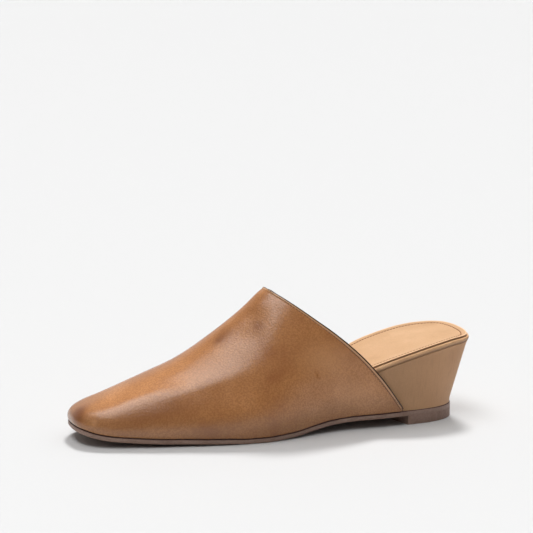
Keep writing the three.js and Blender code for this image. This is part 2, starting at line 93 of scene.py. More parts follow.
# %% Places along the shoe, as shares of its length from the back of the seat
BREAST_AT = 0.18
TREAD_REST = 0.58
THROAT_AT = 0.512
TOPLINE_ENDS = 0.2
TOE_TURN = 0.9
HEEL_TURN = 0.19
CREST_ENDS = 0.895
CREST_ENDS_AT_HEEL = 0.16
FAN_BLEND = 0.045
STRAIGHT_UP_TO = 0.2
ROUND_FROM = 0.42
INSOLE_LEVELS = 0.66
SOLE_EDGE_BLEND = 0.03
FOREFOOT_MARGIN = 0.4
TOE_SQUARENESS = 2.7
HEEL_SQUARENESS = 2.55


# %% Tables of the last
def table(columns, *rows):
    """A short table: one array for each named column."""
    return dict(zip(columns.split(), np.array(rows, float).T))


# Plan of the feather line, where the upper meets the sole.
PLAN = table(
    "at width shift",
    (0.00, HEEL_BASE_WIDTH, 0.002),
    (0.14, HEEL_BASE_WIDTH, 0.002),
    (0.25, HEEL_BASE_WIDTH, 0.001),
    (0.34, WAIST_WIDTH, -0.002),
    (0.43, WAIST_WIDTH * 1.11, -0.003),
    (0.49, BALL_WIDTH * 0.86, -0.002),
    (0.55, BALL_WIDTH * 0.95, 0.002),
    (0.62, BALL_WIDTH, 0.012),
    (0.68, BALL_WIDTH * 0.99, 0.019),
    (0.74, BALL_WIDTH * 0.94, 0.0245),
    (0.80, BALL_WIDTH * 0.87, 0.027),
    (0.87, TOE_WIDTH * 1.24, 0.028),
    (0.94, TOE_WIDTH * 1.04, 0.03),
    (1.00, TOE_WIDTH * 0.94, 0.034),
)

# Height of the outsole's underside. It rests under the ball of the foot and on the heel's lift.
TREAD = table(
    "at height",
    (0.00, LIFT_HEIGHT),
    (0.20, LIFT_HEIGHT),
    (0.28, LIFT_HEIGHT * 0.94),
    (0.33, LIFT_HEIGHT * 0.9),
    (0.39, LIFT_HEIGHT * 0.74),
    (0.44, LIFT_HEIGHT * 0.42),
    (0.48, LIFT_HEIGHT * 0.17),
    (0.52, LIFT_HEIGHT * 0.07),
    (0.55, 0.0),
    (0.61, 0.0),
    (0.65, TOE_SPRING * 0.07),
    (0.70, TOE_SPRING * 0.115),
    (0.76, TOE_SPRING * 0.19),
    (0.82, TOE_SPRING * 0.25),
    (0.88, TOE_SPRING * 0.37),
    (0.94, TOE_SPRING * 0.56),
    (1.00, TOE_SPRING),
)

# The crest runs over the top of the foot. Its height is a share of the instep's.
CREST = table(
    "at height shift",
    (0.000, 1.1, 0.002),
    (0.300, 1.3, 0.004),
    (0.430, 1.16, 0.008),
    (0.512, 1.0, 0.012),
    (0.569, 0.845, 0.016),
    (0.644, 0.678, 0.02),
    (0.722, 0.529, 0.024),
    (0.800, 0.43, 0.027),
    (0.877, 0.346, 0.028),
    (0.954, 0.259, 0.03),
)

# Lean of the side above the feather line in degrees, and how full a section is there and at the top.
SECTIONS = table(
    "at outer_lean inner_lean side crown",
    (0.040, 15.6, 15.6, 0.4, 0.4),
    (0.075, 8.7, 8.7, 0.4, 0.4),
    (0.160, 5.8, 5.8, 0.4, 0.4),
    (0.300, 6, 6, 0.42, 0.36),
    (0.450, 9, 11, 0.42, 0.4),
    (0.560, 9, 9, 0.42, 0.43),
    (0.680, 8, 8, 0.44, 0.52),
    (0.820, 8, 8, 0.5, 0.66),
    (1.000, 7, 7, 0.49, 0.62),
)

# Side view of the topline, from its end at the sole (0) to the throat on the instep (1).
TOPLINE = table(
    "at rise",
    (0.00, 0.024),
    (0.17, 0.264),
    (0.33, 0.456),
    (0.52, 0.63),
    (0.71, 0.78),
    (0.87, 0.902),
    (1.00, 1.0),
)

# Rise of the insole over the flat forefoot, as a share of the whole rise to the seat.
INSOLE_RISE = table(
    "at rise",
    (0.00, 1.0),
    (0.06, 0.985),
    (0.12, 0.935),
    (0.18, 0.855),
    (0.24, 0.758),
    (0.33, 0.573),
    (0.42, 0.37),
    (0.50, 0.18),
    (0.58, 0.045),
    (INSOLE_LEVELS, 0.0),
)

# %% [markdown]
# A table has a row only where the shoe changes. Between two rows the value follows a smooth
# curve that keeps the slope of its neighbours. The curve could be drawn by hand in a curve
# editor, but a formula gives the same answer to every piece that asks for it.

# %% Smooth curves through the tables
NOTHING = 1e-12


def along(rows, column, place):
    """A smooth curve through one column of a table, level outside its first and last rows."""
    at, value = rows["at"], rows[column]
    last = len(at) - 1
    low = np.maximum(np.arange(last + 1) - 1, 0)
    high = np.minimum(np.arange(last + 1) + 1, last)
    slope = (value[high] - value[low]) / (at[high] - at[low])
    x = np.clip(place, at[0], at[-1])
    i = np.clip(np.searchsorted(at, x, side="left") - 1, 0, last - 1)
    span = at[i + 1] - at[i]
    t = (x - at[i]) / span
    rise = value[i + 1] - value[i]
    start = slope[i] * span
    end = slope[i + 1] * span
    return value[i] + t * (start + t * (3 * rise - 2 * start - end + t * (start + end - 2 * rise)))


def smooth_step(start, end, value):
    t = np.clip((value - start) / (end - start), 0, 1)
    return t * t * (3 - 2 * t)


def unit(vectors):
    """Vectors made one long. One that is nothing stays nothing."""
    return vectors / (np.linalg.norm(vectors, axis=-1, keepdims=True) + NOTHING)


def x_at(station):
    return LENGTH * (0.5 - station)


def station_at(x):
    return 0.5 - x / LENGTH


print(f"widest at the ball: {along(PLAN, 'width', np.linspace(0, 1, 200)).max():.1f} mm")


# %% Heights of the sole and of the insole
def tread_height(station, y=0.0):
    return np.maximum(0, along(TREAD, "height", station))


def sole_top(station, y=0.0):
    return tread_height(station) + OUTSOLE_THICKNESS


def feather_height(station, y=0.0):
    return sole_top(station) + FIT_GAP


def wall_foot(station):
    return feather_height(station) + FEATHER_RADIUS


def seat_share(station):
    """1 at the seat of the heel, 0 under the vamp."""
    return 1 - smooth_step(STRAIGHT_UP_TO, ROUND_FROM, station)


def insole_top(station, y=0.0):
    """The insole rises from the ball to the seat, whose inner edge stands a little higher."""
    flat = feather_height(np.maximum(station, TREAD_REST)) + INSOLE_THICKNESS
    rise = HEEL_HEIGHT - feather_height(np.float64(TREAD_REST)) - INSOLE_THICKNESS
    tilt = SEAT_EDGE_RISE * seat_share(station) * (y / HEEL_BASE_WIDTH + 0.5)
    return flat + rise * along(INSOLE_RISE, "rise", station) + tilt


def insole_bottom(station, y=0.0):
    return insole_top(station, y) - INSOLE_THICKNESS


print(f"tip of the toe {tread_height(1.0):.1f} mm up, back of the seat {insole_top(0.0):.1f} mm")


# %% [markdown]
# ## Ribs of the last
# The surface of the last is a loop of ribs. Each rib starts on the feather line and climbs to the
# crest as one Bezier curve, whose handles come from the tables. Around the toe the ribs fan out
# from the end of the crest. All the ribs are kept as arrays, so one call gives a whole grid of
# points, and any piece can ask for the last's surface at its own depth.

# %% Feet of the ribs
HEEL_RIBS = 44
TOPLINE_RIBS = 64
VAMP_RIBS = 116
OUTLINE_STEPS = 1600
TOPLINE_CROWDING = 1.7
VAMP_CROWDING = 1.3
SLOPE_STEP = 0.004


def half_outline(side):
    """Half of the feather line, from the back of the heel to the tip of the toe."""
    back = (HEEL_UNDERCUT - INSOLE_SIDE) / LENGTH
    tip = 1 - TOE_OVERHANG / LENGTH
    sweep = (1 - np.cos(np.linspace(0, np.pi, OUTLINE_STEPS + 1))) / 2
    station = back + (tip - back) * sweep
    toeward = np.clip((station - TOE_TURN) / (tip - TOE_TURN), 0, 1)
    heelward = np.clip((HEEL_TURN - station) / (HEEL_TURN - back), 0, 1)
    round_toe = (1 - toeward**TOE_SQUARENESS) ** (1 / TOE_SQUARENESS)
    round_heel = (1 - heelward**HEEL_SQUARENESS) ** (1 / HEEL_SQUARENESS)
    half = along(PLAN, "width", station) / 2 * round_toe * round_heel
    return np.stack([x_at(station), along(PLAN, "shift", station) * LENGTH + side * half], axis=1)


def rib_feet(side):
    """Feet on one side, closest together at the throat."""
    points = half_outline(side)
    steps = np.linalg.norm(np.diff(points, axis=0), axis=1)
    shares = np.concatenate([[0], np.cumsum(steps)]) / steps.sum()
    end, throat = np.interp([-x_at(TOPLINE_ENDS), -x_at(THROAT_AT)], -points[:, 0], shares)
    heel = end * np.arange(HEEL_RIBS) / HEEL_RIBS
    back = 1 - np.arange(TOPLINE_RIBS) / TOPLINE_RIBS
    front = np.arange(VAMP_RIBS + 1) / VAMP_RIBS
    side = throat + (end - throat) * back**TOPLINE_CROWDING
    vamp = throat + (1 - throat) * front**VAMP_CROWDING
    marks = np.concatenate([heel, side, vamp])
    return np.stack([np.interp(marks, shares, points[:, k]) for k in (0, 1)], axis=1)


# %% The ribs as arrays
def crest_station(station):
    """The crest stops short of the toe and of the heel."""

    def stop(at, end):
        soft = at - (at - end + FAN_BLEND) ** 2 / (4 * FAN_BLEND)
        return np.where(at < end - FAN_BLEND, at, np.where(at > end + FAN_BLEND, end, soft))

    return -stop(-stop(station, CREST_ENDS), -CREST_ENDS_AT_HEEL)


def crest_point(station):
    shift = along(CREST, "shift", station) * LENGTH
    height = along(CREST, "height", station) * INSTEP_HEIGHT
    return np.stack([x_at(station), shift, height], axis=-1)


outer_feet = rib_feet(-1)
inner_feet = rib_feet(1)
TOE_RIB = len(outer_feet) - 1
RIBS = 2 * TOE_RIB
feet = np.concatenate([outer_feet, inner_feet[-2:0:-1]])
rib_index = np.arange(RIBS)
is_outer = rib_index <= TOE_RIB
pair = np.where(is_outer, rib_index, RIBS - rib_index)
rib_station = station_at(feet[:, 0])
crest_at = crest_station((station_at(outer_feet[pair, 0]) + station_at(inner_feet[pair, 0])) / 2)
before, after = np.roll(feet, 1, axis=0), np.roll(feet, -1, axis=0)
outward = unit(np.stack([before[:, 1] - after[:, 1], after[:, 0] - before[:, 0]], axis=1))

crest = crest_point(crest_at)
ahead, behind = crest_point(crest_at + SLOPE_STEP), crest_point(crest_at - SLOPE_STEP)
crest_slope = (ahead[:, 2] - behind[:, 2]) / (ahead[:, 0] - behind[:, 0])
rib_start = np.concatenate([feet, wall_foot(rib_station)[:, None]], axis=1)
rib_rise = (crest[:, 2] - rib_start[:, 2])[:, None]
outer_lean, inner_lean = (along(SECTIONS, name, rib_station) for name in ("outer_lean", "inner_lean"))
lean = np.where(is_outer, outer_lean, inner_lean)
push = np.tan(np.radians(lean))[:, None]
climb = np.concatenate([outward * push, np.ones((RIBS, 1))], axis=1)
side_handle = rib_start + climb * along(SECTIONS, "side", rib_station)[:, None] * rib_rise
across = (rib_start - crest) * along(SECTIONS, "crown", rib_station)[:, None]
top_handle = crest + np.stack([across[:, 0], across[:, 1], crest_slope * across[:, 0]], axis=1)
straight_top = rib_start + climb * rib_rise
roundness = smooth_step(STRAIGHT_UP_TO, ROUND_FROM, rib_station)[:, None, None]
crest_normal = unit(np.stack([-crest_slope, 0 * crest_slope, 1 + 0 * crest_slope], axis=1))
print(f"{RIBS} ribs around the last")

# %% [markdown]
# Every layer of the shoe is the last's surface moved inwards by the layers outside it. An edge
# is a ring: the places where the ribs of that inner surface pass a height. The ring could be
# cut with a plane, but the seat is no plane, so each rib is halved again and again until the
# place is found.

# %% Points and normals of the last
def last_points(share):
    """Points of all the ribs at shares of their length: an array of ribs by shares by 3."""
    t = share[..., None]
    curve = (
        (1 - t) ** 3 * rib_start[:, None]
        + 3 * (1 - t) ** 2 * t * side_handle[:, None]
        + 3 * (1 - t) * t**2 * top_handle[:, None]
        + t**3 * crest[:, None]
    )
    line = rib_start[:, None] + (straight_top - rib_start)[:, None] * t
    return line + (curve - line) * roundness


def last_normals(share):
    """Outward normals of the last at the same places."""
    up = last_points(np.minimum(share + SLOPE_STEP, 1)) - last_points(np.maximum(share - SLOPE_STEP, 0))
    next_rib = np.roll(last_points(np.roll(share, 1, axis=0)), -1, axis=0)
    rib_before = np.roll(last_points(np.roll(share, -1, axis=0)), 1, axis=0)
    normal = unit(np.cross(up, next_rib - rib_before))
    at_crest = share > 1 - SLOPE_STEP / 2
    return np.where(at_crest[..., None], crest_normal[:, None], normal)


def inset_points(share, inset):
    return last_points(share) - last_normals(share) * inset


# %% Rings around the last
HALVINGS = 30


def pass_share(is_below):
    """The share of each rib's length at which it stops being below something, by halving."""
    low, high = np.zeros((RIBS, 1)), np.ones((RIBS, 1))
    for _ in range(HALVINGS):
        middle = (low + high) / 2
        below = is_below(middle)[:, None]
        low, high = np.where(below, middle, low), np.where(below, high, middle)
    return high


def ring_at(height_of, inset):
    """Where every rib, moved inwards, passes a surface of heights over the station and y."""
    inset = np.broadcast_to(inset, RIBS)[:, None, None]

    def is_below(share):
        point = inset_points(share, inset)[:, 0]
        return point[:, 2] < height_of(station_at(point[:, 0]), point[:, 1])

    foot = inset_points(np.zeros((RIBS, 1)), inset)[:, 0]
    ring = inset_points(pass_share(is_below), inset)[:, 0]
    foot_height = height_of(station_at(foot[:, 0]), foot[:, 1])
    lowered = np.column_stack([foot[:, :2], foot_height])
    return np.where((foot[:, 2] >= foot_height)[:, None], lowered, ring)


# %% Where this last stands in the frame
# The frame's origin is under the middle of the shoe's box, so the last is shifted to match it.
LOOKS_UP_A_RIB = 60
low_corner, high_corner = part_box("upper")
skin = last_points(np.linspace(0, 1, LOOKS_UP_A_RIB)[None].repeat(RIBS, 0))[rib_station > TOPLINE_ENDS]
middle_y = (low_corner.y + high_corner.y) / MM / 2 - (skin[..., 1].min() + skin[..., 1].max()) / 2
ORIGIN = np.array([low_corner.x / MM - skin[..., 0].min(), middle_y, 0.0])
print("last shifted by", ORIGIN.round(2), "mm")

# %% [markdown]
# ## From points to a mesh
# Every sheet is a grid of points, and every closed piece is a few grids whose borders meet. The
# borders are merged afterwards, so seams and poles close without any bookkeeping. The signed
# volume then tells whether the faces point outwards.

# %% Mesh helpers
MERGE = 1e-7


def put_in_scene(name, data):
    """A new object that holds a mesh, a lamp or a camera."""
    thing = bpy.data.objects.new(name, data)
    bpy.context.scene.collection.objects.link(thing)
    return thing


class Shape:
    """Grids of points in millimetres that together close a body."""

    def __init__(self):
        self.points = []
        self.faces = []
        self.values = {}

    def add(self, grid, flip=False, **values):
        """Adds a grid, rows by columns by 3. Its faces look along rows x columns, or the other way."""
        rows, columns = grid.shape[:2]
        start = sum(len(p) for p in self.points)
        index = start + np.arange(rows * columns).reshape(rows, columns)
        corners = [index[:-1, :-1], index[1:, :-1], index[1:, 1:], index[:-1, 1:]]
        if flip:
            corners.reverse()
        self.faces.append(np.stack(corners, axis=-1).reshape(-1, 4))
        self.points.append(grid.reshape(-1, 3))
        for name, value in values.items():
            self.values.setdefault(name, {})[start] = np.broadcast_to(value, (rows, columns)).ravel()

    def build(self, name, sharp=None):
        """Makes the object, with its named values as attributes."""
        points = np.concatenate(self.points)
        mesh = bpy.data.meshes.new(name)
        mesh.from_pydata(((points + ORIGIN) * MM).tolist(), [], np.concatenate(self.faces).tolist())
        for value_name, parts in self.values.items():
            data = np.zeros(len(points))
            for start, part in parts.items():
                data[start : start + len(part)] = part
            attribute = mesh.attributes.new(value_name, "FLOAT", "POINT")
            attribute.data.foreach_set("value", data.astype(np.float32))
        body = bmesh.new()
        body.from_mesh(mesh)
        bmesh.ops.remove_doubles(body, verts=body.verts, dist=MERGE)
        bmesh.ops.dissolve_degenerate(body, edges=body.edges, dist=MERGE)
        open_edges = sum(not e.is_manifold for e in body.edges)
        if body.calc_volume(signed=True) < 0:
            bmesh.ops.reverse_faces(body, faces=body.faces)
        volume = body.calc_volume(signed=True) / MM**3
        body.to_mesh(mesh)
        body.free()
        mesh.shade_smooth()
        if sharp:
            mesh.set_sharp_from_angle(angle=math.radians(sharp))
        print(f"{name}: {len(mesh.polygons)} faces, {open_edges} open edges, {volume:.0f} mm3")
        return put_in_scene(name, mesh)


# %% Closed bodies from rings
def sides(ring, rib_count=TOE_RIB):
    """A ring as two rows of points, outer and inner, from the back of the heel forwards."""
    forward = np.arange(rib_count + 1)
    return ring[forward], ring[-forward]


def between(first, second, count):
    """Rows of points from one side to the other."""
    way = np.linspace(0, 1, count)[None, :, None]
    return first[:, None] * (1 - way) + second[:, None] * way


def stack_rings(rings, rib_count=TOE_RIB, columns=24, **values):
    """A closed body through a stack of rings, from the bottom one to the top one."""
    shape = Shape()
    pairs = [sides(ring, rib_count) for ring in rings]
    level = {n: np.asarray(v, float)[:, None] for n, v in values.items()}
    shape.add(np.stack([p[0] for p in pairs]), **level)
    shape.add(np.stack([p[1] for p in pairs]), flip=True, **level)
    bottom = {n: v[0] for n, v in values.items()}
    top = {n: v[-1] for n, v in values.items()}
    shape.add(between(*pairs[0], columns), **bottom)
    shape.add(between(*pairs[-1], columns), flip=True, **top)
    if rib_count < TOE_RIB:
        front = [between(p[0][-1:], p[1][-1:], columns)[0] for p in pairs]
        shape.add(np.stack(front), **level)
    return shape


# %% [markdown]
# ## Shading effects that several leathers share
# Every real leather shows a grain of tiny pits, and a dye that has drifted over the hide. Each is
# made once, as a node group with named inputs, and every leather here uses it with its own
# values. Image textures could do it too, but these need no files and never repeat.

# %% Helpers for nodes
def feed(tree, socket, value):
    """Gives a socket a plain value, or a link from another node's output."""
    if isinstance(value, bpy.types.NodeSocket):
        tree.links.new(value, socket)
    else:
        socket.default_value = value


def add_node(tree, kind, **inputs):
    """A node whose settings and inputs are given by name."""
    node = tree.nodes.new(kind)
    for name, value in inputs.items():
        if hasattr(node, name) and name not in node.inputs:
            setattr(node, name, value)
        else:
            feed(tree, node.inputs[name], value)
    return node


def math_node(tree, operation, *values):
    node = add_node(tree, "ShaderNodeMath", operation=operation)
    for socket, value in zip(node.inputs, values):
        feed(tree, socket, value)
    return node.outputs[0]


def mix_colour(tree, share, first, second):
    """A colour on the way from one to another. This node keeps its colours in sockets 6 and 7."""
    node = add_node(tree, "ShaderNodeMix", data_type="RGBA")
    for place, value in ((0, share), (6, first), (7, second)):
        feed(tree, node.inputs[place], value)
    return node.outputs[2]


def spread(tree, value, low, high, to_low=0.0, to_high=1.0):
    """Takes a value's range to another one, softly."""
    node = add_node(tree, "ShaderNodeMapRange", interpolation_type="SMOOTHSTEP")
    for socket, number in zip(node.inputs, (value, low, high, to_low, to_high)):
        feed(tree, socket, number)
    return node.outputs[0]


def near(tree, value, centre, far, close):
    """1 where a value is close to a centre, and 0 where it is far from it."""
    away = math_node(tree, "ABSOLUTE", math_node(tree, "SUBTRACT", value, centre))
    return spread(tree, away, far, close)


def new_group(name, inputs, outputs):
    """A shader node group with named sockets."""
    group = bpy.data.node_groups.new(name, "ShaderNodeTree")
    for socket, kind, value in inputs:
        made = group.interface.new_socket(socket, in_out="INPUT", socket_type=kind)
        if value is not None:
            made.default_value = value
    for socket, kind in outputs:
        group.interface.new_socket(socket, in_out="OUTPUT", socket_type=kind)
    source = group.nodes.new("NodeGroupInput").outputs
    sink = group.nodes.new("NodeGroupOutput").inputs
    return group, source, sink


def screen_colour(levels):
    """The colour that a screen shows for three levels of 11 to 255, by its usual curve."""
    return tuple(((level / 255 + 0.055) / 1.055) ** 2.4 for level in levels) + (1.0,)


# %% Grain of a hide, and its dye
NUMBER, COLOUR, POINT = "NodeSocketFloat", "NodeSocketColor", "NodeSocketVector"
# Levels of noise between which a pore, a deeper cloud and a paler cloud come in.
PORES = (0.38, 0.62)
DEEP_CLOUDS = (0.5, 0.28)
PALE_CLOUDS = (0.5, 0.74)


def make_grain():
    """Tiny plates with creases between them, and the fibres under them."""
    group, source, sink = new_group(
        "hide_grain",
        [("Place", POINT, None), ("Fineness", NUMBER, 900.0), ("Plates", NUMBER, 0.5)],
        [("Height", NUMBER), ("Speckle", NUMBER)],
    )
    where = {"Vector": source["Place"], "Scale": source["Fineness"]}
    plates = add_node(group, "ShaderNodeTexVoronoi", feature="SMOOTH_F1", **where)
    flesh = add_node(group, "ShaderNodeTexNoise", Detail=3.0, Roughness=0.6, **where)
    plate_height = math_node(group, "MULTIPLY", plates.outputs["Distance"], source["Plates"])
    height = math_node(group, "SUBTRACT", flesh.outputs["Fac"], plate_height)
    group.links.new(height, sink["Height"])
    group.links.new(spread(group, flesh.outputs["Fac"], *PORES), sink["Speckle"])
    return group


def make_dye_drift():
    """Clouds of deeper and paler dye, with darker pores."""
    group, source, sink = new_group(
        "dye_drift",
        [
            ("Place", POINT, None),
            ("Deep", COLOUR, (0.1, 0.05, 0.02, 1)),
            ("Even", COLOUR, (0.3, 0.15, 0.06, 1)),
            ("Pale", COLOUR, (0.5, 0.3, 0.15, 1)),
            ("Pore", COLOUR, (0.1, 0.05, 0.02, 1)),
            ("Clouds", NUMBER, 30.0),
            ("Speckle", NUMBER, 0.5),
            ("Speckle Share", NUMBER, 0.1),
        ],
        [("Colour", COLOUR), ("Cloud", NUMBER)],
    )
    where = {"Vector": source["Place"], "Scale": source["Clouds"]}
    clouds = add_node(group, "ShaderNodeTexNoise", Detail=3.0, Roughness=0.55, **where)
    cloud = clouds.outputs["Fac"]
    deep = mix_colour(group, spread(group, cloud, *DEEP_CLOUDS), source["Even"], source["Deep"])
    pale = mix_colour(group, spread(group, cloud, *PALE_CLOUDS), deep, source["Pale"])
    dots = math_node(group, "MULTIPLY", source["Speckle"], source["Speckle Share"])
    group.links.new(mix_colour(group, dots, pale, source["Pore"]), sink["Colour"])
    group.links.new(cloud, sink["Cloud"])
    return group


grain_group = make_grain()
drift_group = make_dye_drift()
print("node groups:", [g.name for g in bpy.data.node_groups])


# %% [markdown]
# ## A leather
# Every leather is the same recipe: drifting dye for the colour, grain for the bump, and a finish
# that decides how sharply it shines. The recipe is one class, and each leather adds its own
# marks to it before the colour reaches the surface. The thread and the rubber use it too.

# %% The swatches
# Deep, even and pale dye as a screen's levels, how many clouds and how many grains lie along a
# metre, and how strongly the pores show.
SWATCHES = {
    "polished_calf": ((160, 100, 54), (183, 123, 72), (199, 139, 88), 26, 940, 0.4),
    "lining_skin": ((178, 132, 88), (205, 160, 114), (222, 182, 138), 40, 1500, 0.12),
    "wrapping_leather": ((196, 150, 108), (210, 164, 120), (218, 174, 130), 60, 1200, 0.12),
    "sock_skin": ((190, 148, 107), (199, 157, 116), (206, 165, 125), 46, 1000, 0.15),
    "sock_thread": ((124, 76, 40), (124, 76, 40), (124, 76, 40), 40, 2400, 0.12),
    "edge_thread": ((96, 62, 38), (96, 62, 38), (96, 62, 38), 40, 2400, 0.12),
    "wedge_skin": ((164, 122, 84), (176, 134, 95), (184, 142, 103), 30, 1300, 0.15),
    "sealed_sole_edge": ((138, 110, 96), (152, 124, 110), (162, 134, 120), 120, 700, 0.3),
    "lift_rubber_skin": ((134, 106, 92), (148, 120, 106), (158, 130, 116), 120, 700, 0.3),
}
PORE_TONE = 0.62
PLATES = 0.5


# %% The recipe
def place_group(tree, group, **inputs):
    """Places a node group. An underline in an input's name stands for the space in it."""
    node = add_node(tree, "ShaderNodeGroup", node_tree=group)
    for name, value in inputs.items():
        feed(tree, node.inputs[name.replace("_", " ")], value)
    return node.outputs


class Leather:
    """A leather's material, with its colour, roughness and height still open to marks."""

    def __init__(self, name):
        *dyes, clouds, fineness, speckle = SWATCHES[name]
        deep, even, pale = (screen_colour(levels) for levels in dyes)
        pore = tuple(PORE_TONE * channel for channel in deep[:3]) + (1.0,)
        self.material = bpy.data.materials.new(name)
        self.material.use_nodes = True
        self.tree = self.material.node_tree
        self.tree.nodes.clear()
        self.place = add_node(self.tree, "ShaderNodeTexCoord").outputs["Object"]
        grain = place_group(self.tree, grain_group, Place=self.place, Fineness=fineness, Plates=PLATES)
        drift = place_group(
            self.tree,
            drift_group,
            Place=self.place,
            Deep=deep,
            Even=even,
            Pale=pale,
            Pore=pore,
            Clouds=clouds,
            Speckle=grain["Speckle"],
            Speckle_Share=speckle,
        )
        self.colour = drift["Colour"]
        self.cloud = drift["Cloud"]
        self.height = grain["Height"]

    def value(self, name):
        """An attribute of the piece."""
        return add_node(self.tree, "ShaderNodeAttribute", attribute_name=name).outputs["Fac"]

    def mark(self, share, levels, most=1.0):
        """Lays a colour over the leather, as strongly as share says, and never more than most."""
        if most < 1:
            share = math_node(self.tree, "MULTIPLY", share, most)
        self.colour = mix_colour(self.tree, share, self.colour, screen_colour(levels))

    def finish(self, roughness, grain_depth, coat=0.0, coat_roughness=0.3, sheen=0.0, specular=0.5):
        """Ends the recipe. grain_depth is in millimetres."""
        bump = add_node(self.tree, "ShaderNodeBump", Height=self.height, Distance=grain_depth * MM)
        shader = add_node(self.tree, "ShaderNodeBsdfPrincipled")
        look = {
            "Base Color": self.colour,
            "Normal": bump.outputs["Normal"],
            "Coat Normal": bump.outputs["Normal"],
            "Roughness": roughness,
            "Coat Weight": coat,
            "Coat Roughness": coat_roughness,
            "Sheen Weight": sheen,
            "Specular IOR Level": specular,
        }
        for name, value in look.items():
            feed(self.tree, shader.inputs[name], value)
        add_node(self.tree, "ShaderNodeOutputMaterial", Surface=shader.outputs["BSDF"])
        return self.material


# %% Dressing a piece
def dress(piece, material, node=None):
    """Gives a piece its material and its place in the frame."""
    print(f"{piece.name} dressed in {material.name}")
    piece.data.materials.clear()
    piece.data.materials.append(material)
    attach(piece, "root")
    if node:
        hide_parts(node)


# %% [markdown]
# ## The vamp
# One piece of calf is pulled over the last and lasted under the sole, with a thin lining inside.
# A subdivided cage would be the usual way, but the silhouette is the whole design of this shoe,
# so the grid is taken from the last itself. The few soft troughs that wear has left are rows of
# a table, in places of the shoe: a station along it and a share of the way up its side.

# %% Soft troughs and ridges of the vamp
# height is in millimetres, out of the surface; along_half and up_half are half sizes of the mark,
# and turn tips it, in degrees up for each step towards the heel.
CREASES = table(
    "side at up height along_half up_half turn",
    (-1, 0.500, 0.80, -0.55, 7.0, 4.0, 35),
    (-1, 0.485, 0.88, 0.35, 9.0, 3.5, 35),
    (-1, 0.545, 0.84, 0.30, 12.0, 5.0, -30),
    (-1, 0.590, 0.70, -0.30, 16.0, 6.0, -20),
    (-1, 0.660, 0.55, 0.22, 22.0, 7.0, -12),
    (1, 0.520, 0.84, -0.35, 9.0, 5.0, 30),
    (1, 0.640, 0.66, -0.25, 20.0, 7.0, -15),
)

# %% How the marks move the surface
# The last has a soft ridge where the top of the toe turns into its outer side: place along the
# shoe, share of the rib's length, and height in millimetres.
RIDGE = table(
    "at share height",
    (0.52, 0.43, 0.0),
    (0.59, 0.438, 0.25),
    (0.638, 0.45, 0.55),
    (0.708, 0.513, 0.95),
    (0.767, 0.537, 1.05),
    (0.825, 0.575, 1.05),
    (0.874, 0.562, 1.0),
    (0.925, 0.48, 0.8),
    (0.960, 0.40, 0.5),
    (1.000, 0.40, 0.0),
)
RIDGE_HALF = 6.5
CALM_FROM = 0.88


def ridge_height(points):
    """Height of the toe's ridge over the rest of the last, in millimetres."""
    at = np.where(is_outer, np.clip(rib_station, RIDGE["at"][0], 1), RIDGE["at"][0])
    ridge = last_points(along(RIDGE, "share", at)[:, None])
    away = np.linalg.norm(points - ridge, axis=-1)
    return along(RIDGE, "height", at)[:, None] * np.exp(-((away / RIDGE_HALF) ** 2))


def sum_of_marks(marks, value, points):
    """Sum of soft oval marks on the last. A mark of side 0 lies on both sides."""
    total = np.zeros(points.shape[:-1])
    for i in range(len(marks["at"])):
        row = {name: column[i] for name, column in marks.items()}
        same_side = (row["side"] == 0) | (is_outer == (row["side"] < 0))
        k = np.argmin(np.where(same_side, np.abs(rib_station - row["at"]), np.inf))
        centre = last_points(np.full((RIBS, 1), row["up"]))[k, 0]
        away = points - centre
        turn = math.radians(row["turn"])
        forward = away[..., 0] * math.cos(turn) + away[..., 2] * math.sin(turn)
        upward = np.hypot(away[..., 1], away[..., 2] * math.cos(turn) - away[..., 0] * math.sin(turn))
        reach = (forward / row["along_half"]) ** 2 + (upward / row["up_half"]) ** 2
        total += row[value] * np.exp(-reach) * same_side[:, None]
    return total


def crease_height(points, share):
    """How far the ridge and the soft marks move the surface, in millimetres."""
    moved = ridge_height(points) + sum_of_marks(CREASES, "height", points)
    return moved * smooth_step(1.0, CALM_FROM, share)

# %% [markdown]
# The calf is dyed and then burnished by hand, so it is deeper at the toe. The same marks also hold
# painted shade in the hollows of the throat, along the top and down the outer side of the
# forefoot, a painted highlight on the toe's corner, and painted light on the outer side by the
# heel. This could be painted on a texture. A few oval marks on the last say the same in a table,
# and each point of the vamp keeps its sum of them as an attribute.

# %% Where the dye is deeper or paler, and where shade and light are painted
# The fourth column runs from -1 for the darkest to 1 for the palest; its rows are burnished dye,
# painted shade and painted highlights. The other columns are the creases'.
DYE_AND_PAINTED_LIGHT = table(
    "side at up tone along_half up_half turn",
    (0, 0.993, 0.35, -0.8, 7.0, 7.0, 0),
    (0, 0.880, 0.90, -0.22, 34.0, 12.0, 12),
    (-1, 0.847, 0.34, -0.45, 26.0, 9.0, 8),
    (-1, 0.742, 0.33, -0.3, 26.0, 10.0, 8),
    (-1, 0.625, 0.84, -0.55, 12.0, 10.0, 45),
    (-1, 0.558, 0.88, -0.35, 10.0, 8.0, 45),
    (-1, 0.517, 0.80, -0.3, 7.0, 8.0, 30),
    (-1, 0.554, 0.69, -0.5, 4.5, 5.0, 0),
    (-1, 0.643, 0.84, -0.3, 4.0, 3.0, 30),
    (-1, 0.427, 0.234, -0.9, 1.0, 2.2, 20),
    (-1, 0.958, 0.20, 0.55, 2.5, 3.0, 0),
    (-1, 0.985, 0.22, -0.35, 4.0, 5.0, 0),
    (-1, 0.400, 0.30, 0.5, 22.0, 14.0, 0),
    (-1, 0.320, 0.12, 0.4, 20.0, 10.0, 0),
    (1, 0.600, 0.80, -0.4, 16.0, 12.0, 30),
    (1, 0.800, 0.35, -0.3, 26.0, 9.0, 8),
)

# %% [markdown]
# The topline is the edge of the vamp that the foot slips under. Cutting the finished vamp with a
# Boolean would leave ragged faces along it, so each rib stops where it meets the line instead,
# and the line is a clean row of points that the fold and the seam can follow.

# %% Where the topline crosses each rib
ALL_BUT_THERE = 1e-4


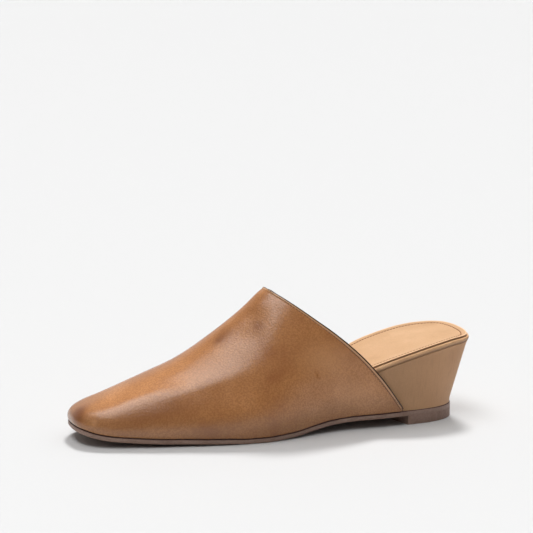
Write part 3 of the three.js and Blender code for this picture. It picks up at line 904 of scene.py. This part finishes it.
def topline_shares():
    """Shares of the ribs' lengths at which the vamp is cut off."""
    way = (rib_station - TOPLINE_ENDS) / (THROAT_AT - TOPLINE_ENDS)
    foot, throat = wall_foot(np.float64(TOPLINE_ENDS)), crest_point(np.float64(THROAT_AT))[2]
    height = foot + (throat - foot) * along(TOPLINE, "rise", way)
    share = pass_share(lambda share: last_points(share)[:, 0, 2] < height)
    return np.where((way > 1 - ALL_BUT_THERE)[:, None], 1.0, share)


top_share = topline_shares()
vamp_ribs = np.arange(HEEL_RIBS, RIBS - HEEL_RIBS + 1)
outer_edge = np.arange(HEEL_RIBS, HEEL_RIBS + TOPLINE_RIBS + 1)
topline_ribs = np.concatenate([outer_edge, RIBS - outer_edge[-2::-1]])
topline = last_points(top_share)[topline_ribs, 0]
print(f"topline is {np.linalg.norm(np.diff(topline, axis=0), axis=1).sum():.0f} mm long")


# %% Distance from the topline, which the edge's finish follows
def topline_distance(points):
    """Distance in millimetres from each point to the topline."""
    start, end = topline[:-1], topline[1:]
    step = end - start
    flat = points.reshape(-1, 3)
    nearest = np.full(len(flat), np.inf)
    for a, d in zip(start, step):
        t = np.clip(((flat - a) @ d) / (d @ d), 0, 1)
        nearest = np.minimum(nearest, np.linalg.norm(flat - a - t[:, None] * d, axis=1))
    return nearest.reshape(points.shape[:-1])

# %% [markdown]
# The leather is turned in along the topline and stitched down, which leaves a soft roll and a
# narrow groove beside it. A Bevel would round the edge alone. The fold's own section, laid along
# the distance from the topline, gives the roll and the groove together.

# %% The folded edge of the topline
# Section across the fold: distance from the topline, and height over the leather, in millimetres.
FOLD_GROOVE = 2.1
FOLD_ENDS = 3.2
FOLD = table(
    "at height",
    (0.0, -0.3),
    (0.15, -0.04),
    (0.4, 0.12),
    (0.9, 0.2),
    (1.5, 0.16),
    (1.8, 0.0),
    (FOLD_GROOVE - 0.1, -0.08),
    (FOLD_GROOVE + 0.1, -0.08),
    (2.45, -0.02),
    (2.8, 0.0),
    (FOLD_ENDS, 0.0),
)
# The fold makes the tip of the throat blunt.
THROAT_DROP = 1.1
THROAT_HALF = 4.5
throat = topline[np.argmax(topline[:, 2])]

# %% [markdown]
# The fold is only three millimetres wide, so a grid of even rows would miss it. Rows of points
# crowd against the topline instead, at the places of the fold's own table. Where a rib is short,
# or meets the topline aslant, they move closer together, and neighbours are evened out.

# %% Rows of points up the vamp
ROWS = 50
ROW_CROWDING = 0.92
STEPS_UP_A_RIB = 21
MOST_OF_A_RIB = 0.6
LEAST_CROSSING = 0.2
EVENED = 8

rib_path = last_points(top_share * np.linspace(0, 1, STEPS_UP_A_RIB))
rib_length = np.linalg.norm(np.diff(rib_path, axis=1), axis=2).sum(axis=1)
rib_climb = unit(rib_path[:, -1] - rib_path[:, -2])
tangent = np.zeros((RIBS, 3))
tangent[topline_ribs] = unit(np.gradient(topline, axis=0))
crossing = np.where(top_share[:, 0] < 1, np.linalg.norm(np.cross(rib_climb, tangent), axis=1), 1.0)
room = rib_length * np.maximum(crossing, LEAST_CROSSING)
fold_share = FOLD["at"] * np.minimum(1, MOST_OF_A_RIB * room / FOLD_ENDS)[:, None] / room[:, None]
neighbours = range(-EVENED, EVENED + 1)
fold_share = sum(np.roll(fold_share, step, axis=0) for step in neighbours) / len(neighbours)
plain_share = np.linspace(0, 1, ROWS + 1)[:-1] ** ROW_CROWDING * (1 - fold_share[:, -1:])
row_share = np.concatenate([plain_share, 1 - fold_share[:, ::-1]], axis=1)
print(f"{row_share.shape[1]} rows of points up the vamp")

# %% [markdown]
# The leather is one closed shell, and the lining another one inside it. Solidify could give a
# wall its thickness, but only the outer sheet has the fold and the creases, and each shell also
# tucks in under the sole, so both sheets are made and their borders joined.

# %% The vamp's leather and its lining
TUCK_ROWS = 5
LEATHER = 1.1
GLUE = 0.03
FAR_FROM_EDGE = 99.0


def vamp_sheet(depth):
    """The vamp at a depth under the last's surface, from its tuck under the sole to its top."""
    share = top_share * row_share
    points = last_points(share)
    normals = last_normals(share)
    moved = crease_height(points, share) - depth
    if depth == 0:
        moved = moved + along(FOLD, "height", topline_distance(points))
    points = points + normals * moved[..., None]
    from_throat = np.linalg.norm(points - throat, axis=-1)
    points[..., 2] -= THROAT_DROP * np.exp(-((from_throat / THROAT_HALF) ** 2))
    turn = np.pi / 2 * (1 - np.arange(TUCK_ROWS) / TUCK_ROWS)
    tuck = FEATHER_RADIUS * (1 - np.cos(turn))
    drop = FEATHER_RADIUS * np.sin(turn)
    under = np.repeat(points[:, :1], TUCK_ROWS, axis=1)
    under[..., 2] -= drop
    if depth == 0:
        under[..., :2] -= outward[:, None] * tuck[:, None]
    return np.concatenate([under, points], axis=1)


def vamp_shell(outside, inside):
    """A closed shell between two sheets, with marks for the finish."""
    shape = Shape()
    edge = topline_distance(outside[vamp_ribs])
    lift = outside[vamp_ribs, :, 2] - wall_foot(rib_station)[vamp_ribs, None]
    tone = sum_of_marks(DYE_AND_PAINTED_LIGHT, "tone", outside)[vamp_ribs]
    shape.add(outside[vamp_ribs], flip=True, edge=edge, lift=lift, tone=tone)
    shape.add(inside[vamp_ribs], edge=edge, lift=lift)
    shape.add(np.stack([outside[vamp_ribs, 0], inside[vamp_ribs, 0]], axis=1), edge=FAR_FROM_EDGE)
    for ribs in (topline_ribs[: TOPLINE_RIBS + 1], topline_ribs[TOPLINE_RIBS:]):
        shape.add(np.stack([outside[ribs, -1], inside[ribs, -1]], axis=1), flip=True, edge=0.0)
    for end, flip in ((vamp_ribs[0], True), (vamp_ribs[-1], False)):
        shape.add(np.stack([outside[end], inside[end]], axis=1), flip=flip, edge=0.0)
    return shape


outer_sheet, middle_sheet, inner_sheet = (vamp_sheet(d) for d in (0, LEATHER, UPPER_WALL))
vamp = vamp_shell(outer_sheet, middle_sheet).build("vamp_leather")
lining = vamp_shell(vamp_sheet(LEATHER + GLUE), inner_sheet).build("vamp_lining")

# %% [markdown]
# The polish is a clear coat over a soft leather, so the streak of the softbox is sharp and the
# rest is not. The marks follow three attributes of the points: dye with painted shade and light,
# lift over the sole, and distance from the edge. Painted shade darkens the low side, the groove
# and the cut edge, and a painted highlight lies on the fold.

# %% Finish of the vamp
# Heights over the sole between which painted shade darkens the side and the groove's painted shade
# fades, and distances from the topline where the fold has a painted highlight and its edge painted
# shade, all in millimetres.
LOW_SIDE_SHADE = (18.0, 2.0)
GROOVE_SHADE_FADES = (56.0, 30.0)
FOLD_HIGHLIGHT = (FOLD_GROOVE - 0.1, FOLD_GROOVE - 0.4)
VAMP_EDGE_SHADE = (1.05, 0.6)


def vamp_finish():
    calf = Leather("polished_calf")
    tree, edge, lift, tone = calf.tree, *(calf.value(name) for name in ("edge", "lift", "tone"))
    # Painted shade on the low side of the vamp, near the sole.
    calf.mark(spread(tree, lift, *LOW_SIDE_SHADE), (128, 98, 74), most=0.3)
    # Burnished dye, with painted shade and painted highlights, from the marks on the last.
    calf.mark(spread(tree, tone, 0.0, -1.0), (122, 68, 26))
    calf.mark(spread(tree, tone, 0.0, 1.0), (204, 150, 104))
    # A painted highlight on the roll of the fold.
    calf.mark(spread(tree, edge, *FOLD_HIGHLIGHT), (206, 162, 120), most=0.6)
    # Painted shade along the cut edge of the topline.
    calf.mark(spread(tree, edge, *VAMP_EDGE_SHADE), (52, 32, 20))
    # Painted shade in the groove of the fold, fainter higher up the side.
    in_groove = near(tree, edge, FOLD_GROOVE, 0.5, 0.1)
    groove_shade = math_node(tree, "MULTIPLY", in_groove, spread(tree, lift, *GROOVE_SHADE_FADES, 0.08, 0.75))
    calf.mark(groove_shade, (92, 58, 34))
    rough = spread(tree, calf.cloud, 0.3, 0.7, 0.4, 0.5)
    return calf.finish(rough, grain_depth=0.15, coat=1.0, coat_roughness=0.18, specular=0.1)


dress(vamp, vamp_finish(), "upper")
lining_material = Leather("lining_skin").finish(0.62, grain_depth=0.03, sheen=0.1)
dress(lining, lining_material)

# %% [markdown]
# ## Insole and sock
# The seat of a mule shows all of its layers: a board wrapped in leather, whose edge is a small
# round roll, and the stitched sock that lies on it, a little smaller. Both are stacks of rings
# cut from the last, and the last ring is bridged from side to side.

# %% Rings of the cupped seat
def seat_margin(station):
    """How far in the seat slopes down. Under the vamp the rings only keep a little apart."""
    return SEAT_MARGIN * (FOREFOOT_MARGIN + (1 - FOREFOOT_MARGIN) * seat_share(station))


def seat_ring(height_of, inset, drop=0.0):
    """A ring of the cupped seat, at a distance in from the insole's edge."""
    share = np.clip((inset - SOCK_INSET) / (seat_margin(rib_station) - SOCK_INSET), 0, 1)
    down = SEAT_DISH * np.sin(np.pi / 2 * share) * seat_share(rib_station) + drop
    return ring_at(lambda s, y: height_of(s, y) - down, INSOLE_SIDE + inset)


CUP_STEPS = (0.15, 0.32, 0.5, 0.75, 1.0)
EVENED_PER_STEP = 3
LEAST_REACH = 2.0


def cup_rings(height_of, start):
    """Rings from a first inset to the bottom of the cup. The inner ones are evened out, so that
    they do not fold over at the square corners of the heel."""
    reach = np.maximum(seat_margin(rib_station) - start, LEAST_REACH)
    rings = []
    for count, share in enumerate(CUP_STEPS):
        ring = seat_ring(height_of, start + reach * share)
        neighbours = range(-EVENED_PER_STEP * count, EVENED_PER_STEP * count + 1)
        rings.append(sum(np.roll(ring, step, axis=0) for step in neighbours) / len(neighbours))
    return rings


# %% The wrapped insole
ROLL_STEPS = 6
UNDER_RADIUS = 1.1
ABOVE_THE_ROLL = 2.0
insole_rings = []
insole_level = []
for turn in np.linspace(0, np.pi / 2, ROLL_STEPS):
    inset = INSOLE_SIDE + UNDER_RADIUS * (1 - np.sin(turn))
    rise = UNDER_RADIUS * (1 - np.cos(turn))
    insole_rings.append(ring_at(lambda s, y, rise=rise: insole_bottom(s, y) + rise, inset))
    insole_level.append(rise / INSOLE_THICKNESS)
for turn in np.linspace(0, np.pi / 2, ROLL_STEPS):
    inset = INSOLE_SIDE + WRAP_RADIUS * (1 - np.cos(turn))
    drop = WRAP_RADIUS * (1 - np.sin(turn))
    insole_rings.append(ring_at(lambda s, y, drop=drop: insole_top(s, y) - drop, inset))
    insole_level.append(1 - drop / INSOLE_THICKNESS)
insole_rings += cup_rings(insole_top, SOCK_INSET)
insole_level += [ABOVE_THE_ROLL] * len(CUP_STEPS)
insole = stack_rings(insole_rings, level=insole_level).build("insole_wrap")

# %% The sock
SEWN_IN = 3.4
SEWN_DEPTH = 0.3
SOCK_COLUMNS = 40
WELL_INSIDE = 9.0
TOUCH = 0.02


def sock_bottom(station, y):
    return insole_top(station, y) + TOUCH


def sock_top(station, y):
    return insole_top(station, y) + FIT_GAP + SOCK_THICKNESS


# Distance in from the sock's edge, and how far each ring lies below the top: the edge is soft,
# and the stitches pull the leather down in a narrow channel.
SOCK_TOP = table(
    "inset depth",
    (0.0, 0.5),
    (0.12, 0.2),
    (0.45, 0.0),
    (SEWN_IN - 1.2, 0.0),
    (SEWN_IN - 0.5, 0.06),
    (SEWN_IN - 0.2, SEWN_DEPTH * 0.8),
    (SEWN_IN, SEWN_DEPTH),
    (SEWN_IN + 0.2, SEWN_DEPTH * 0.8),
    (SEWN_IN + 0.5, 0.06),
    (SEWN_IN + 0.9, 0.0),
)
sock_rings = cup_rings(sock_bottom, SOCK_INSET)[::-1]
sock_rings.append(seat_ring(sock_bottom, SOCK_INSET))
sock_level = [0.0] * len(sock_rings)
for inset, depth in zip(SOCK_TOP["inset"], SOCK_TOP["depth"]):
    sock_rings.append(seat_ring(sock_top, SOCK_INSET + inset, depth))
    sock_level.append(inset)
sewn_ring = seat_ring(sock_top, SOCK_INSET + SEWN_IN, SEWN_DEPTH)
sock_rings += cup_rings(sock_top, SOCK_INSET + SOCK_TOP["inset"][-1])
sock_level += [WELL_INSIDE] * len(CUP_STEPS)
sock = stack_rings(sock_rings, columns=SOCK_COLUMNS, inward=sock_level).build("sock_leather")

# %% [markdown]
# Both are matt, pale leathers, with painted shade where they are cut or pressed. The wrap has
# painted shade downwards on its roll, and the sock has a painted highlight on its rim, painted
# shade on its cut edge and a soft painted shade along its seam. Both follow attributes of the
# rings: the level on the roll, and the distance inwards.

# %% Finishes of the insole and of the sock
# Level of the insole's edge over which painted shade darkens its leather downwards. Distances in
# from the sock's edge where its rim has a painted highlight and its cut edge painted shade, in
# millimetres.
ROLL_SHADE_BELOW = (0.75, 0.2)
SOCK_RIM_HIGHLIGHT = (1.1, 0.6)
SOCK_EDGE_SHADE = (0.1, 0.0)


def wrap_finish():
    skin = Leather("wrapping_leather")
    # Painted shade on the lower side of the roll.
    skin.mark(spread(skin.tree, skin.value("level"), *ROLL_SHADE_BELOW), (152, 114, 80))
    return skin.finish(0.5, grain_depth=0.03, coat=0.08)


def sock_finish():
    skin = Leather("sock_skin")
    tree, inward = skin.tree, skin.value("inward")
    nap = add_node(tree, "ShaderNodeTexNoise", Vector=skin.place, Scale=260.0, Detail=4.0, Distortion=1.5)
    skin.height = math_node(tree, "ADD", skin.height, math_node(tree, "MULTIPLY", nap.outputs["Fac"], 2.0))
    # A painted highlight on the rim of the sock.
    skin.mark(spread(tree, inward, *SOCK_RIM_HIGHLIGHT), (240, 200, 156), most=0.7)
    # Painted shade on the cut edge of the sock, in the gap above the roll.
    skin.mark(spread(tree, inward, *SOCK_EDGE_SHADE), (108, 68, 38), most=0.75)
    # Painted shade in the channel of the seam.
    skin.mark(near(tree, inward, SEWN_IN, 0.6, 0.1), (150, 96, 54), most=0.35)
    return skin.finish(0.68, grain_depth=0.05, sheen=0.15)


dress(insole, wrap_finish(), "insole")
dress(sock, sock_finish(), "sock")

# %% [markdown]
# ## Wedge, outsole and heel lift
# The wedge is a light core under a thin cover. The outsole runs the whole length under it with
# a sealed edge, and the lift at its back takes the wear. The lift's front face is cut on a slant,
# as a heel breast is, and a plane cut through the finished stack makes it.

# %% The wedge
WEDGE_STEPS = 14
ROUND_ABOVE = 0.93
# Rings from its foot to its top: share of the height, and inset. The cover closes against the
# insole's roll without a step.
WEDGE_SHAPE = [(share, WEDGE_SIDE) for share in np.linspace(0, ROUND_ABOVE, WEDGE_STEPS)]
WEDGE_SHAPE += [(0.955, WEDGE_SIDE - 0.04), (0.98, WEDGE_SIDE - 0.16), (1.0, WEDGE_SIDE - 0.3)]
THINNEST_WEDGE = 1.5
WEDGE_ARRIS_ANGLE = 40


def wedge_height(share):
    """Heights at a share of the way from the wedge's foot to the insole."""
    return lambda s, y: sole_top(s) * (1 - share) + insole_bottom(s, y) * share + TOUCH * (1 - 2 * share)


def wedge_rib():
    """The last rib at which the wedge is thick enough to be made."""
    thick = insole_bottom(rib_station) - sole_top(rib_station) > THINNEST_WEDGE
    return int(np.argmin(thick[: TOE_RIB + 1]))


wedge_rings = [ring_at(wedge_height(share), inset) for share, inset in WEDGE_SHAPE]
wedge_level = [share for share, _ in WEDGE_SHAPE]
wedge = stack_rings(wedge_rings, rib_count=wedge_rib(), level=wedge_level)
wedge = wedge.build("wedge_cover", sharp=WEDGE_ARRIS_ANGLE)

# %% The outsole
SOLE_ARRIS_ANGLE = 50
# Under the upper the sole's edge is nearly flush with it. At the heel it stands out a little.
under_upper = smooth_step(TOPLINE_ENDS - SOLE_EDGE_BLEND, TOPLINE_ENDS + SOLE_EDGE_BLEND, rib_station)
sole_inset = (WEDGE_SIDE - SOLE_EDGE) * (1 - under_upper) + FIT_GAP * under_upper
bevel = SOLE_ARRIS * (1 - under_upper) + SOLE_BEVEL * under_upper
# Rings up the edge: height in bevels and in sole thicknesses, and inset in bevels and in mm.
SOLE_SHAPE = table(
    "bevels_up up bevels_in inward level",
    (0.0, 0.0, 1.0, 0.0, 0.0),
    (0.22, 0.0, 0.4, 0.0, 0.1),
    (0.55, 0.0, 0.12, 0.0, 0.2),
    (1.0, 0.0, 0.0, 0.0, 0.3),
    (0.0, 0.6, 0.0, 0.0, 0.6),
    (0.0, 0.8, 0.0, 0.05, 0.8),
    (0.0, 0.93, 0.0, 0.14, 0.93),
    (0.0, 1.0, 0.0, 0.4, 1.0),
)


def edge_rings(bottom, top, bevel, round_top=1.0):
    """Rings of a sole's edge between two heights."""
    rings = []
    for i in range(len(SOLE_SHAPE["up"])):
        row = {name: column[i] for name, column in SOLE_SHAPE.items()}
        rise = row["bevels_up"] * bevel

        def height(s, y, up=row["up"], rise=rise):
            return bottom(s) * (1 - up) + top(s) * up + rise

        rings.append(ring_at(height, sole_inset + row["bevels_in"] * bevel + row["inward"] * round_top))
    return rings


outsole = stack_rings(edge_rings(tread_height, sole_top, bevel), level=SOLE_SHAPE["level"])
outsole = outsole.build("outsole_leather", sharp=SOLE_ARRIS_ANGLE)

# %% The heel lift
LIFT_ARRIS = 0.35
LIFT_ARRIS_ANGLE = 35
UNCUT_LIFT_ENDS = BREAST_AT + 0.09
lift_ribs = int(np.argmax(rib_station > UNCUT_LIFT_ENDS))
lift_rings = edge_rings(lambda s: 0 * s, lambda s: tread_height(s) - TOUCH, LIFT_ARRIS, round_top=0.0)
lift = stack_rings(lift_rings, rib_count=lift_ribs, level=SOLE_SHAPE["level"])
lift = lift.build("heel_top_piece", sharp=LIFT_ARRIS_ANGLE)


def cut_breast(piece):
    """Cuts away what lies ahead of the slanted breast, and closes the cut."""
    slant = math.radians(BREAST_SLANT)
    start = (Vector((x_at(BREAST_AT), -HEEL_BASE_WIDTH / 2, 0)) + Vector(ORIGIN)) * MM
    ahead = Vector((-math.cos(slant), -math.sin(slant), 0))
    body = bmesh.new()
    body.from_mesh(piece.data)
    everything = body.verts[:] + body.edges[:] + body.faces[:]
    plane = {"plane_co": start, "plane_no": ahead, "dist": MERGE}
    cut = bmesh.ops.bisect_plane(body, geom=everything, clear_outer=True, **plane)
    rim = [e for e in cut["geom_cut"] if isinstance(e, bmesh.types.BMEdge)]
    bmesh.ops.edgeloop_fill(body, edges=rim)
    bmesh.ops.triangulate(body, faces=[f for f in body.faces if len(f.verts) > 4])
    body.to_mesh(piece.data)
    open_edges = sum(not e.is_manifold for e in body.edges)
    body.free()
    piece.data.set_sharp_from_angle(angle=math.radians(LIFT_ARRIS_ANGLE))
    print(f"{piece.name}: breast cut, {open_edges} open edges")


cut_breast(lift)

# %% [markdown]
# ## Stitches
# The seams run along two paths: round the sock, and along the folded edge of the vamp. Every
# stitch is the same short bead of thread, so Geometry Nodes set one at each step of a path, and
# the seed turns each a little, as a hand does.

# %% The recipe of a seam
SWAY = 0.08


def make_seam_tree():
    """Beads of thread along a path, each swayed a little."""
    tree = bpy.data.node_groups.new("seam_of_beads", "GeometryNodeTree")
    kinds = {"Geometry": "Geometry", "Pitch": "Float", "Length": "Float", "Radius": "Float"}
    kinds |= {"Seed": "Int", "Thread": "Material"}
    for name, kind in kinds.items():
        tree.interface.new_socket(name, in_out="INPUT", socket_type="NodeSocket" + kind)
    tree.interface.new_socket("Geometry", in_out="OUTPUT", socket_type="NodeSocketGeometry")
    given = add_node(tree, "NodeGroupInput").outputs
    curve = add_node(tree, "GeometryNodeMeshToCurve", Mesh=given["Geometry"])
    path = curve.outputs["Curve"]
    steps = add_node(tree, "GeometryNodeCurveToPoints", mode="LENGTH", Curve=path, Length=given["Pitch"])
    bead = add_node(tree, "GeometryNodeMeshUVSphere", Segments=6, Rings=4, Radius=1.0)
    half = math_node(tree, "MULTIPLY", given["Length"], 0.5)
    size = add_node(tree, "ShaderNodeCombineXYZ", X=given["Radius"], Y=given["Radius"], Z=half)
    sway = add_node(tree, "FunctionNodeRandomValue", data_type="FLOAT_VECTOR", Seed=given["Seed"])
    feed(tree, sway.inputs[0], (-SWAY, -SWAY, 0.0))
    feed(tree, sway.inputs[1], (SWAY, SWAY, 0.0))
    standing = steps.outputs["Rotation"]
    turned = add_node(tree, "FunctionNodeRotateRotation", rotation_space="LOCAL", Rotation=standing)
    feed(tree, turned.inputs[1], sway.outputs[0])
    beads = add_node(
        tree,
        "GeometryNodeInstanceOnPoints",
        Points=steps.outputs["Points"],
        Instance=bead.outputs["Mesh"],
        Rotation=turned.outputs["Rotation"],
        Scale=size.outputs["Vector"],
    )
    whole = add_node(tree, "GeometryNodeRealizeInstances", Geometry=beads.outputs["Instances"]).outputs[0]
    coloured = add_node(tree, "GeometryNodeSetMaterial", Geometry=whole, Material=given["Thread"])
    add_node(tree, "NodeGroupOutput", Geometry=coloured.outputs["Geometry"])
    return tree


seam_tree = make_seam_tree()
print("seam recipe:", [node.bl_label for node in seam_tree.nodes])


# %% Sewing along a path
def sew(name, path, closed, material, **sizes):
    """A seam along a path of points, in millimetres."""
    mesh = bpy.data.meshes.new(name)
    count = len(path)
    edges = [(i, (i + 1) % count) for i in range(count if closed else count - 1)]
    mesh.from_pydata([Vector(point) * MM for point in path], edges, [])
    seam = put_in_scene(name, mesh)
    recipe = seam.modifiers.new("seam", "NODES")
    recipe.node_group = seam_tree
    inputs = [item for item in seam_tree.interface.items_tree if item.in_out == "INPUT"]
    socket_of = {item.name: item.identifier for item in inputs}
    for key, value in sizes.items():
        recipe[socket_of[key]] = value
    recipe[socket_of["Thread"]] = material
    evaluated = seam.evaluated_get(bpy.context.evaluated_depsgraph_get())
    sewn = bpy.data.meshes.new_from_object(evaluated)
    seam.modifiers.clear()
    seam.data = sewn
    sewn.name = name
    print(f"{name}: {len(sewn.polygons)} faces")
    return seam

# %% [markdown]
# The sock is sewn once round with a thicker thread. The topline's finer stitches lie in the
# groove of the fold, at the same pitch.

# %% The two seams
PITCH = 2.1 * MM
STITCH_LENGTH = 1.5 * MM
SOCK_STITCH_RADIUS = 0.3 * MM
EDGE_STITCH_RADIUS = 0.2 * MM
STANDS_OUT = 0.12
sock_thread = Leather("sock_thread").finish(0.7, grain_depth=0.02)
edge_thread = Leather("edge_thread").finish(0.7, grain_depth=0.02)

stitch = {"Pitch": PITCH, "Length": STITCH_LENGTH, "Radius": SOCK_STITCH_RADIUS, "Seed": 3}
on_sock = sewn_ring + ORIGIN + np.array([0, 0, STANDS_OUT])
sock_seam = sew("sock_stitches", on_sock, True, sock_thread, **stitch)
stitch |= {"Radius": EDGE_STITCH_RADIUS, "Seed": 5}
groove_column = -1 - int(np.argmin(np.abs(FOLD["at"] - FOLD_GROOVE)))
in_groove = vamp_sheet(0)[topline_ribs, groove_column] + ORIGIN
edge_seam = sew("topline_stitches", in_groove, False, edge_thread, **stitch)
dress(sock_seam, sock_thread)
dress(edge_seam, edge_thread)

# %% [markdown]
# ## Finish of the wedge, the sole and the lift
# The wedge's cover is a matt leather, a little paler towards the back, with a fine upright rub.
# The sole's edge is sealed dark, paler on its bevel, with painted shade in a darker line where it
# meets the upper. The lift is plain rubber of nearly the same colour. Noise stretched along one
# axis makes the rub, and the rings' level places the sole's strip and its line of painted shade.

# %% Finishes of the wedge and of the sole
# Where along the shoe the cover fades, how fine its rub is, and the levels of the sole's edge
# between which the bevel ends and the painted shade under the upper starts.
COVER_FADES = (60 * MM, 122 * MM)
RUB_FINENESS = (900, 900, 60)
BEVEL_ENDS = (0.42, 0.3)
UPPER_SHADE_STARTS = (0.83, 0.93)


def wedge_finish():
    cover = Leather("wedge_skin")
    tree = cover.tree
    to_back = add_node(tree, "ShaderNodeSeparateXYZ", Vector=cover.place).outputs["X"]
    cover.mark(spread(tree, to_back, *COVER_FADES, 0.0, 0.55), (208, 158, 116))
    threads = add_node(tree, "ShaderNodeVectorMath", operation="MULTIPLY")
    feed(tree, threads.inputs[0], cover.place)
    feed(tree, threads.inputs[1], RUB_FINENESS)
    rub = add_node(tree, "ShaderNodeTexNoise", Vector=threads.outputs["Vector"], Scale=1.0, Detail=2.0)
    cover.mark(spread(tree, rub.outputs["Fac"], 0.5, 0.8, 0.0, 0.2), (140, 104, 72))
    return cover.finish(0.58, grain_depth=0.04, coat=0.05)


def sole_finish():
    edge = Leather("sealed_sole_edge")
    tree, level = edge.tree, edge.value("level")
    edge.mark(spread(tree, level, *BEVEL_ENDS), (150, 120, 102), most=0.45)
    # Painted shade along the top of the edge, under the upper.
    edge.mark(spread(tree, level, *UPPER_SHADE_STARTS), (66, 36, 26), most=0.8)
    return edge.finish(0.55, grain_depth=0.05)


dress(wedge, wedge_finish(), "wedge")
dress(outsole, sole_finish(), "outsole")
dress(lift, Leather("lift_rubber_skin").finish(0.6, grain_depth=0.05), "heel_lift")

# %% [markdown]
# ## Floor, light and camera
# A product photographer sets a shoe on a white sweep under large softboxes, with the main light
# behind it, so that the shadow falls towards the viewer. A plain large floor does for the sweep.

# %% The floor
FLOOR_HALF = 12.0
FLOOR_TONE = 0.572
floor_mesh = bpy.data.meshes.new("floor")
corners = [(FLOOR_HALF * x, FLOOR_HALF * y, 0) for x, y in ((-1, -1), (1, -1), (1, 1), (-1, 1))]
floor_mesh.from_pydata(corners, [], [(0, 1, 2, 3)])
floor = put_in_scene("floor", floor_mesh)
floor_material = bpy.data.materials.new("pale_floor")
floor_material.use_nodes = True
floor_shader = floor_material.node_tree.nodes["Principled BSDF"]
floor_shader.inputs["Base Color"].default_value = (FLOOR_TONE, FLOOR_TONE, FLOOR_TONE, 1)
floor_shader.inputs["Roughness"].default_value = 0.8
floor_mesh.materials.append(floor_material)
print("floor laid,", 2 * FLOOR_HALF, "m wide")

# %% [markdown]
# Two suns of a wide angle stand for the softboxes that only cast light. They leave no picture of
# themselves on the polished calf, so the one streak on it can be set on its own.


# %% The lights
def direction(turn, rise):
    """A direction in degrees. Turn 0 points away from the outer side, 90 to the heel, rise 90 up."""
    turn, rise = math.radians(turn), math.radians(rise)
    return Vector((math.sin(turn) * math.cos(rise), math.cos(turn) * math.cos(rise), math.sin(rise)))


def face(thing, way):
    """Turns a lamp or a camera so that it looks along a direction."""
    thing.rotation_euler = way.to_track_quat("-Z", "Y").to_euler()


LAMP_DISTANCE = 2.0


def softbox(name, turn, rise, strength, width):
    """A distant softbox in a direction, as wide as this angle, that casts no highlight."""
    light = bpy.data.lights.new(name, "SUN")
    light.energy = strength
    light.angle = math.radians(width)
    lamp = put_in_scene(name, light)
    lamp.location = direction(turn, rise) * LAMP_DISTANCE
    face(lamp, -direction(turn, rise))
    lamp.visible_glossy = False
    print(name, "turned", turn, "and raised", rise, "degrees")


softbox("back_light", 25, 55, 3.0, 12)
softbox("heel_fill", 80, 48, 0.4, 60)

# %% [markdown]
# The streak along the vamp is the picture of a long softbox. A lamp with a size could make it,
# but its edge could not be set so finely, so the box is drawn on the sky, with a sharp edge in
# front and a soft one behind, and a pale board stands low behind the shoe.

# %% The sky
# The sky is dim at the horizon and brighter overhead, where a long softbox hangs across the shoe.
# The box is a rectangle on a ceiling one unit up: x and y are its direction over its height.
HORIZON_LIGHT = 0.05
ZENITH_LIGHT = 0.3
BACKDROP_LIGHT = 0.35
BOX_LIGHT = 4.7
BOX_X = (-0.50, -0.06)
BOX_Y = (-0.68, 0.40)
BOX_SHARP = 0.05
BOX_SOFT = 0.25
JUST_OVER_HORIZON = 0.01
world = bpy.data.worlds.new("studio")
bpy.context.scene.world = world
world.use_nodes = True
sky = world.node_tree
ray = add_node(sky, "ShaderNodeTexCoord").outputs["Generated"]
along_x, along_y, along_z = add_node(sky, "ShaderNodeSeparateXYZ", Vector=ray).outputs


def between_edges(tree, value, low, high, low_soft, high_soft):
    """1 between two edges, and 0 outside them."""
    rising = spread(tree, value, low - low_soft, low + low_soft)
    falling = spread(tree, value, high + high_soft, high - high_soft)
    return math_node(tree, "MULTIPLY", rising, falling)


over = math_node(sky, "MAXIMUM", along_z, JUST_OVER_HORIZON)
box_x = between_edges(sky, math_node(sky, "DIVIDE", along_x, over), *BOX_X, BOX_SHARP, BOX_SHARP)
box_y = between_edges(sky, math_node(sky, "DIVIDE", along_y, over), *BOX_Y, BOX_SHARP, BOX_SOFT)
box = math_node(sky, "MULTIPLY", math_node(sky, "MULTIPLY", box_x, box_y), BOX_LIGHT)
sky_light = spread(sky, along_z, 0.0, 0.7, HORIZON_LIGHT, ZENITH_LIGHT)
behind = math_node(sky, "MULTIPLY", spread(sky, along_y, 0.4, 0.85), spread(sky, along_z, 0.6, 0.35))
boards = math_node(sky, "MULTIPLY_ADD", behind, BACKDROP_LIGHT, box)
background = sky.nodes["Background"].inputs
feed(sky, background["Strength"], math_node(sky, "ADD", sky_light, boards))
feed(sky, background["Color"], (1, 1, 1, 1))
bpy.context.scene.view_settings.view_transform = "Standard"
print("sky of", len(sky.nodes), "nodes")

# %% [markdown]
# The camera is a plain pinhole. Its place was found by fitting the shoe's outline to the
# photograph. The shoe stands low in the picture, so the camera looks a little above it.

# %% The camera, at the photograph's angle
CAMERA_TURN = 19.558
CAMERA_RISE = 13.274
CAMERA_DISTANCE = 1300.0
PIXELS_PER_MM = 1.582
CAMERA_AIM = (-5.275, -4.5, 39.424)
PICTURE = 533
LOOK_ABOVE = 2.77
SENSOR = 36.0

camera_data = bpy.data.cameras.new("camera")
camera_data.sensor_width = SENSOR
camera_data.lens = PIXELS_PER_MM * CAMERA_DISTANCE * SENSOR / PICTURE
camera_data.clip_start = 0.05
camera_data.clip_end = 50.0
camera = put_in_scene("camera", camera_data)
camera.location = (Vector(CAMERA_AIM) - direction(CAMERA_TURN, -CAMERA_RISE) * CAMERA_DISTANCE) * MM
face(camera, direction(CAMERA_TURN, LOOK_ABOVE - CAMERA_RISE))
bpy.context.scene.camera = camera
print(f"camera with a {camera_data.lens:.0f} mm lens")
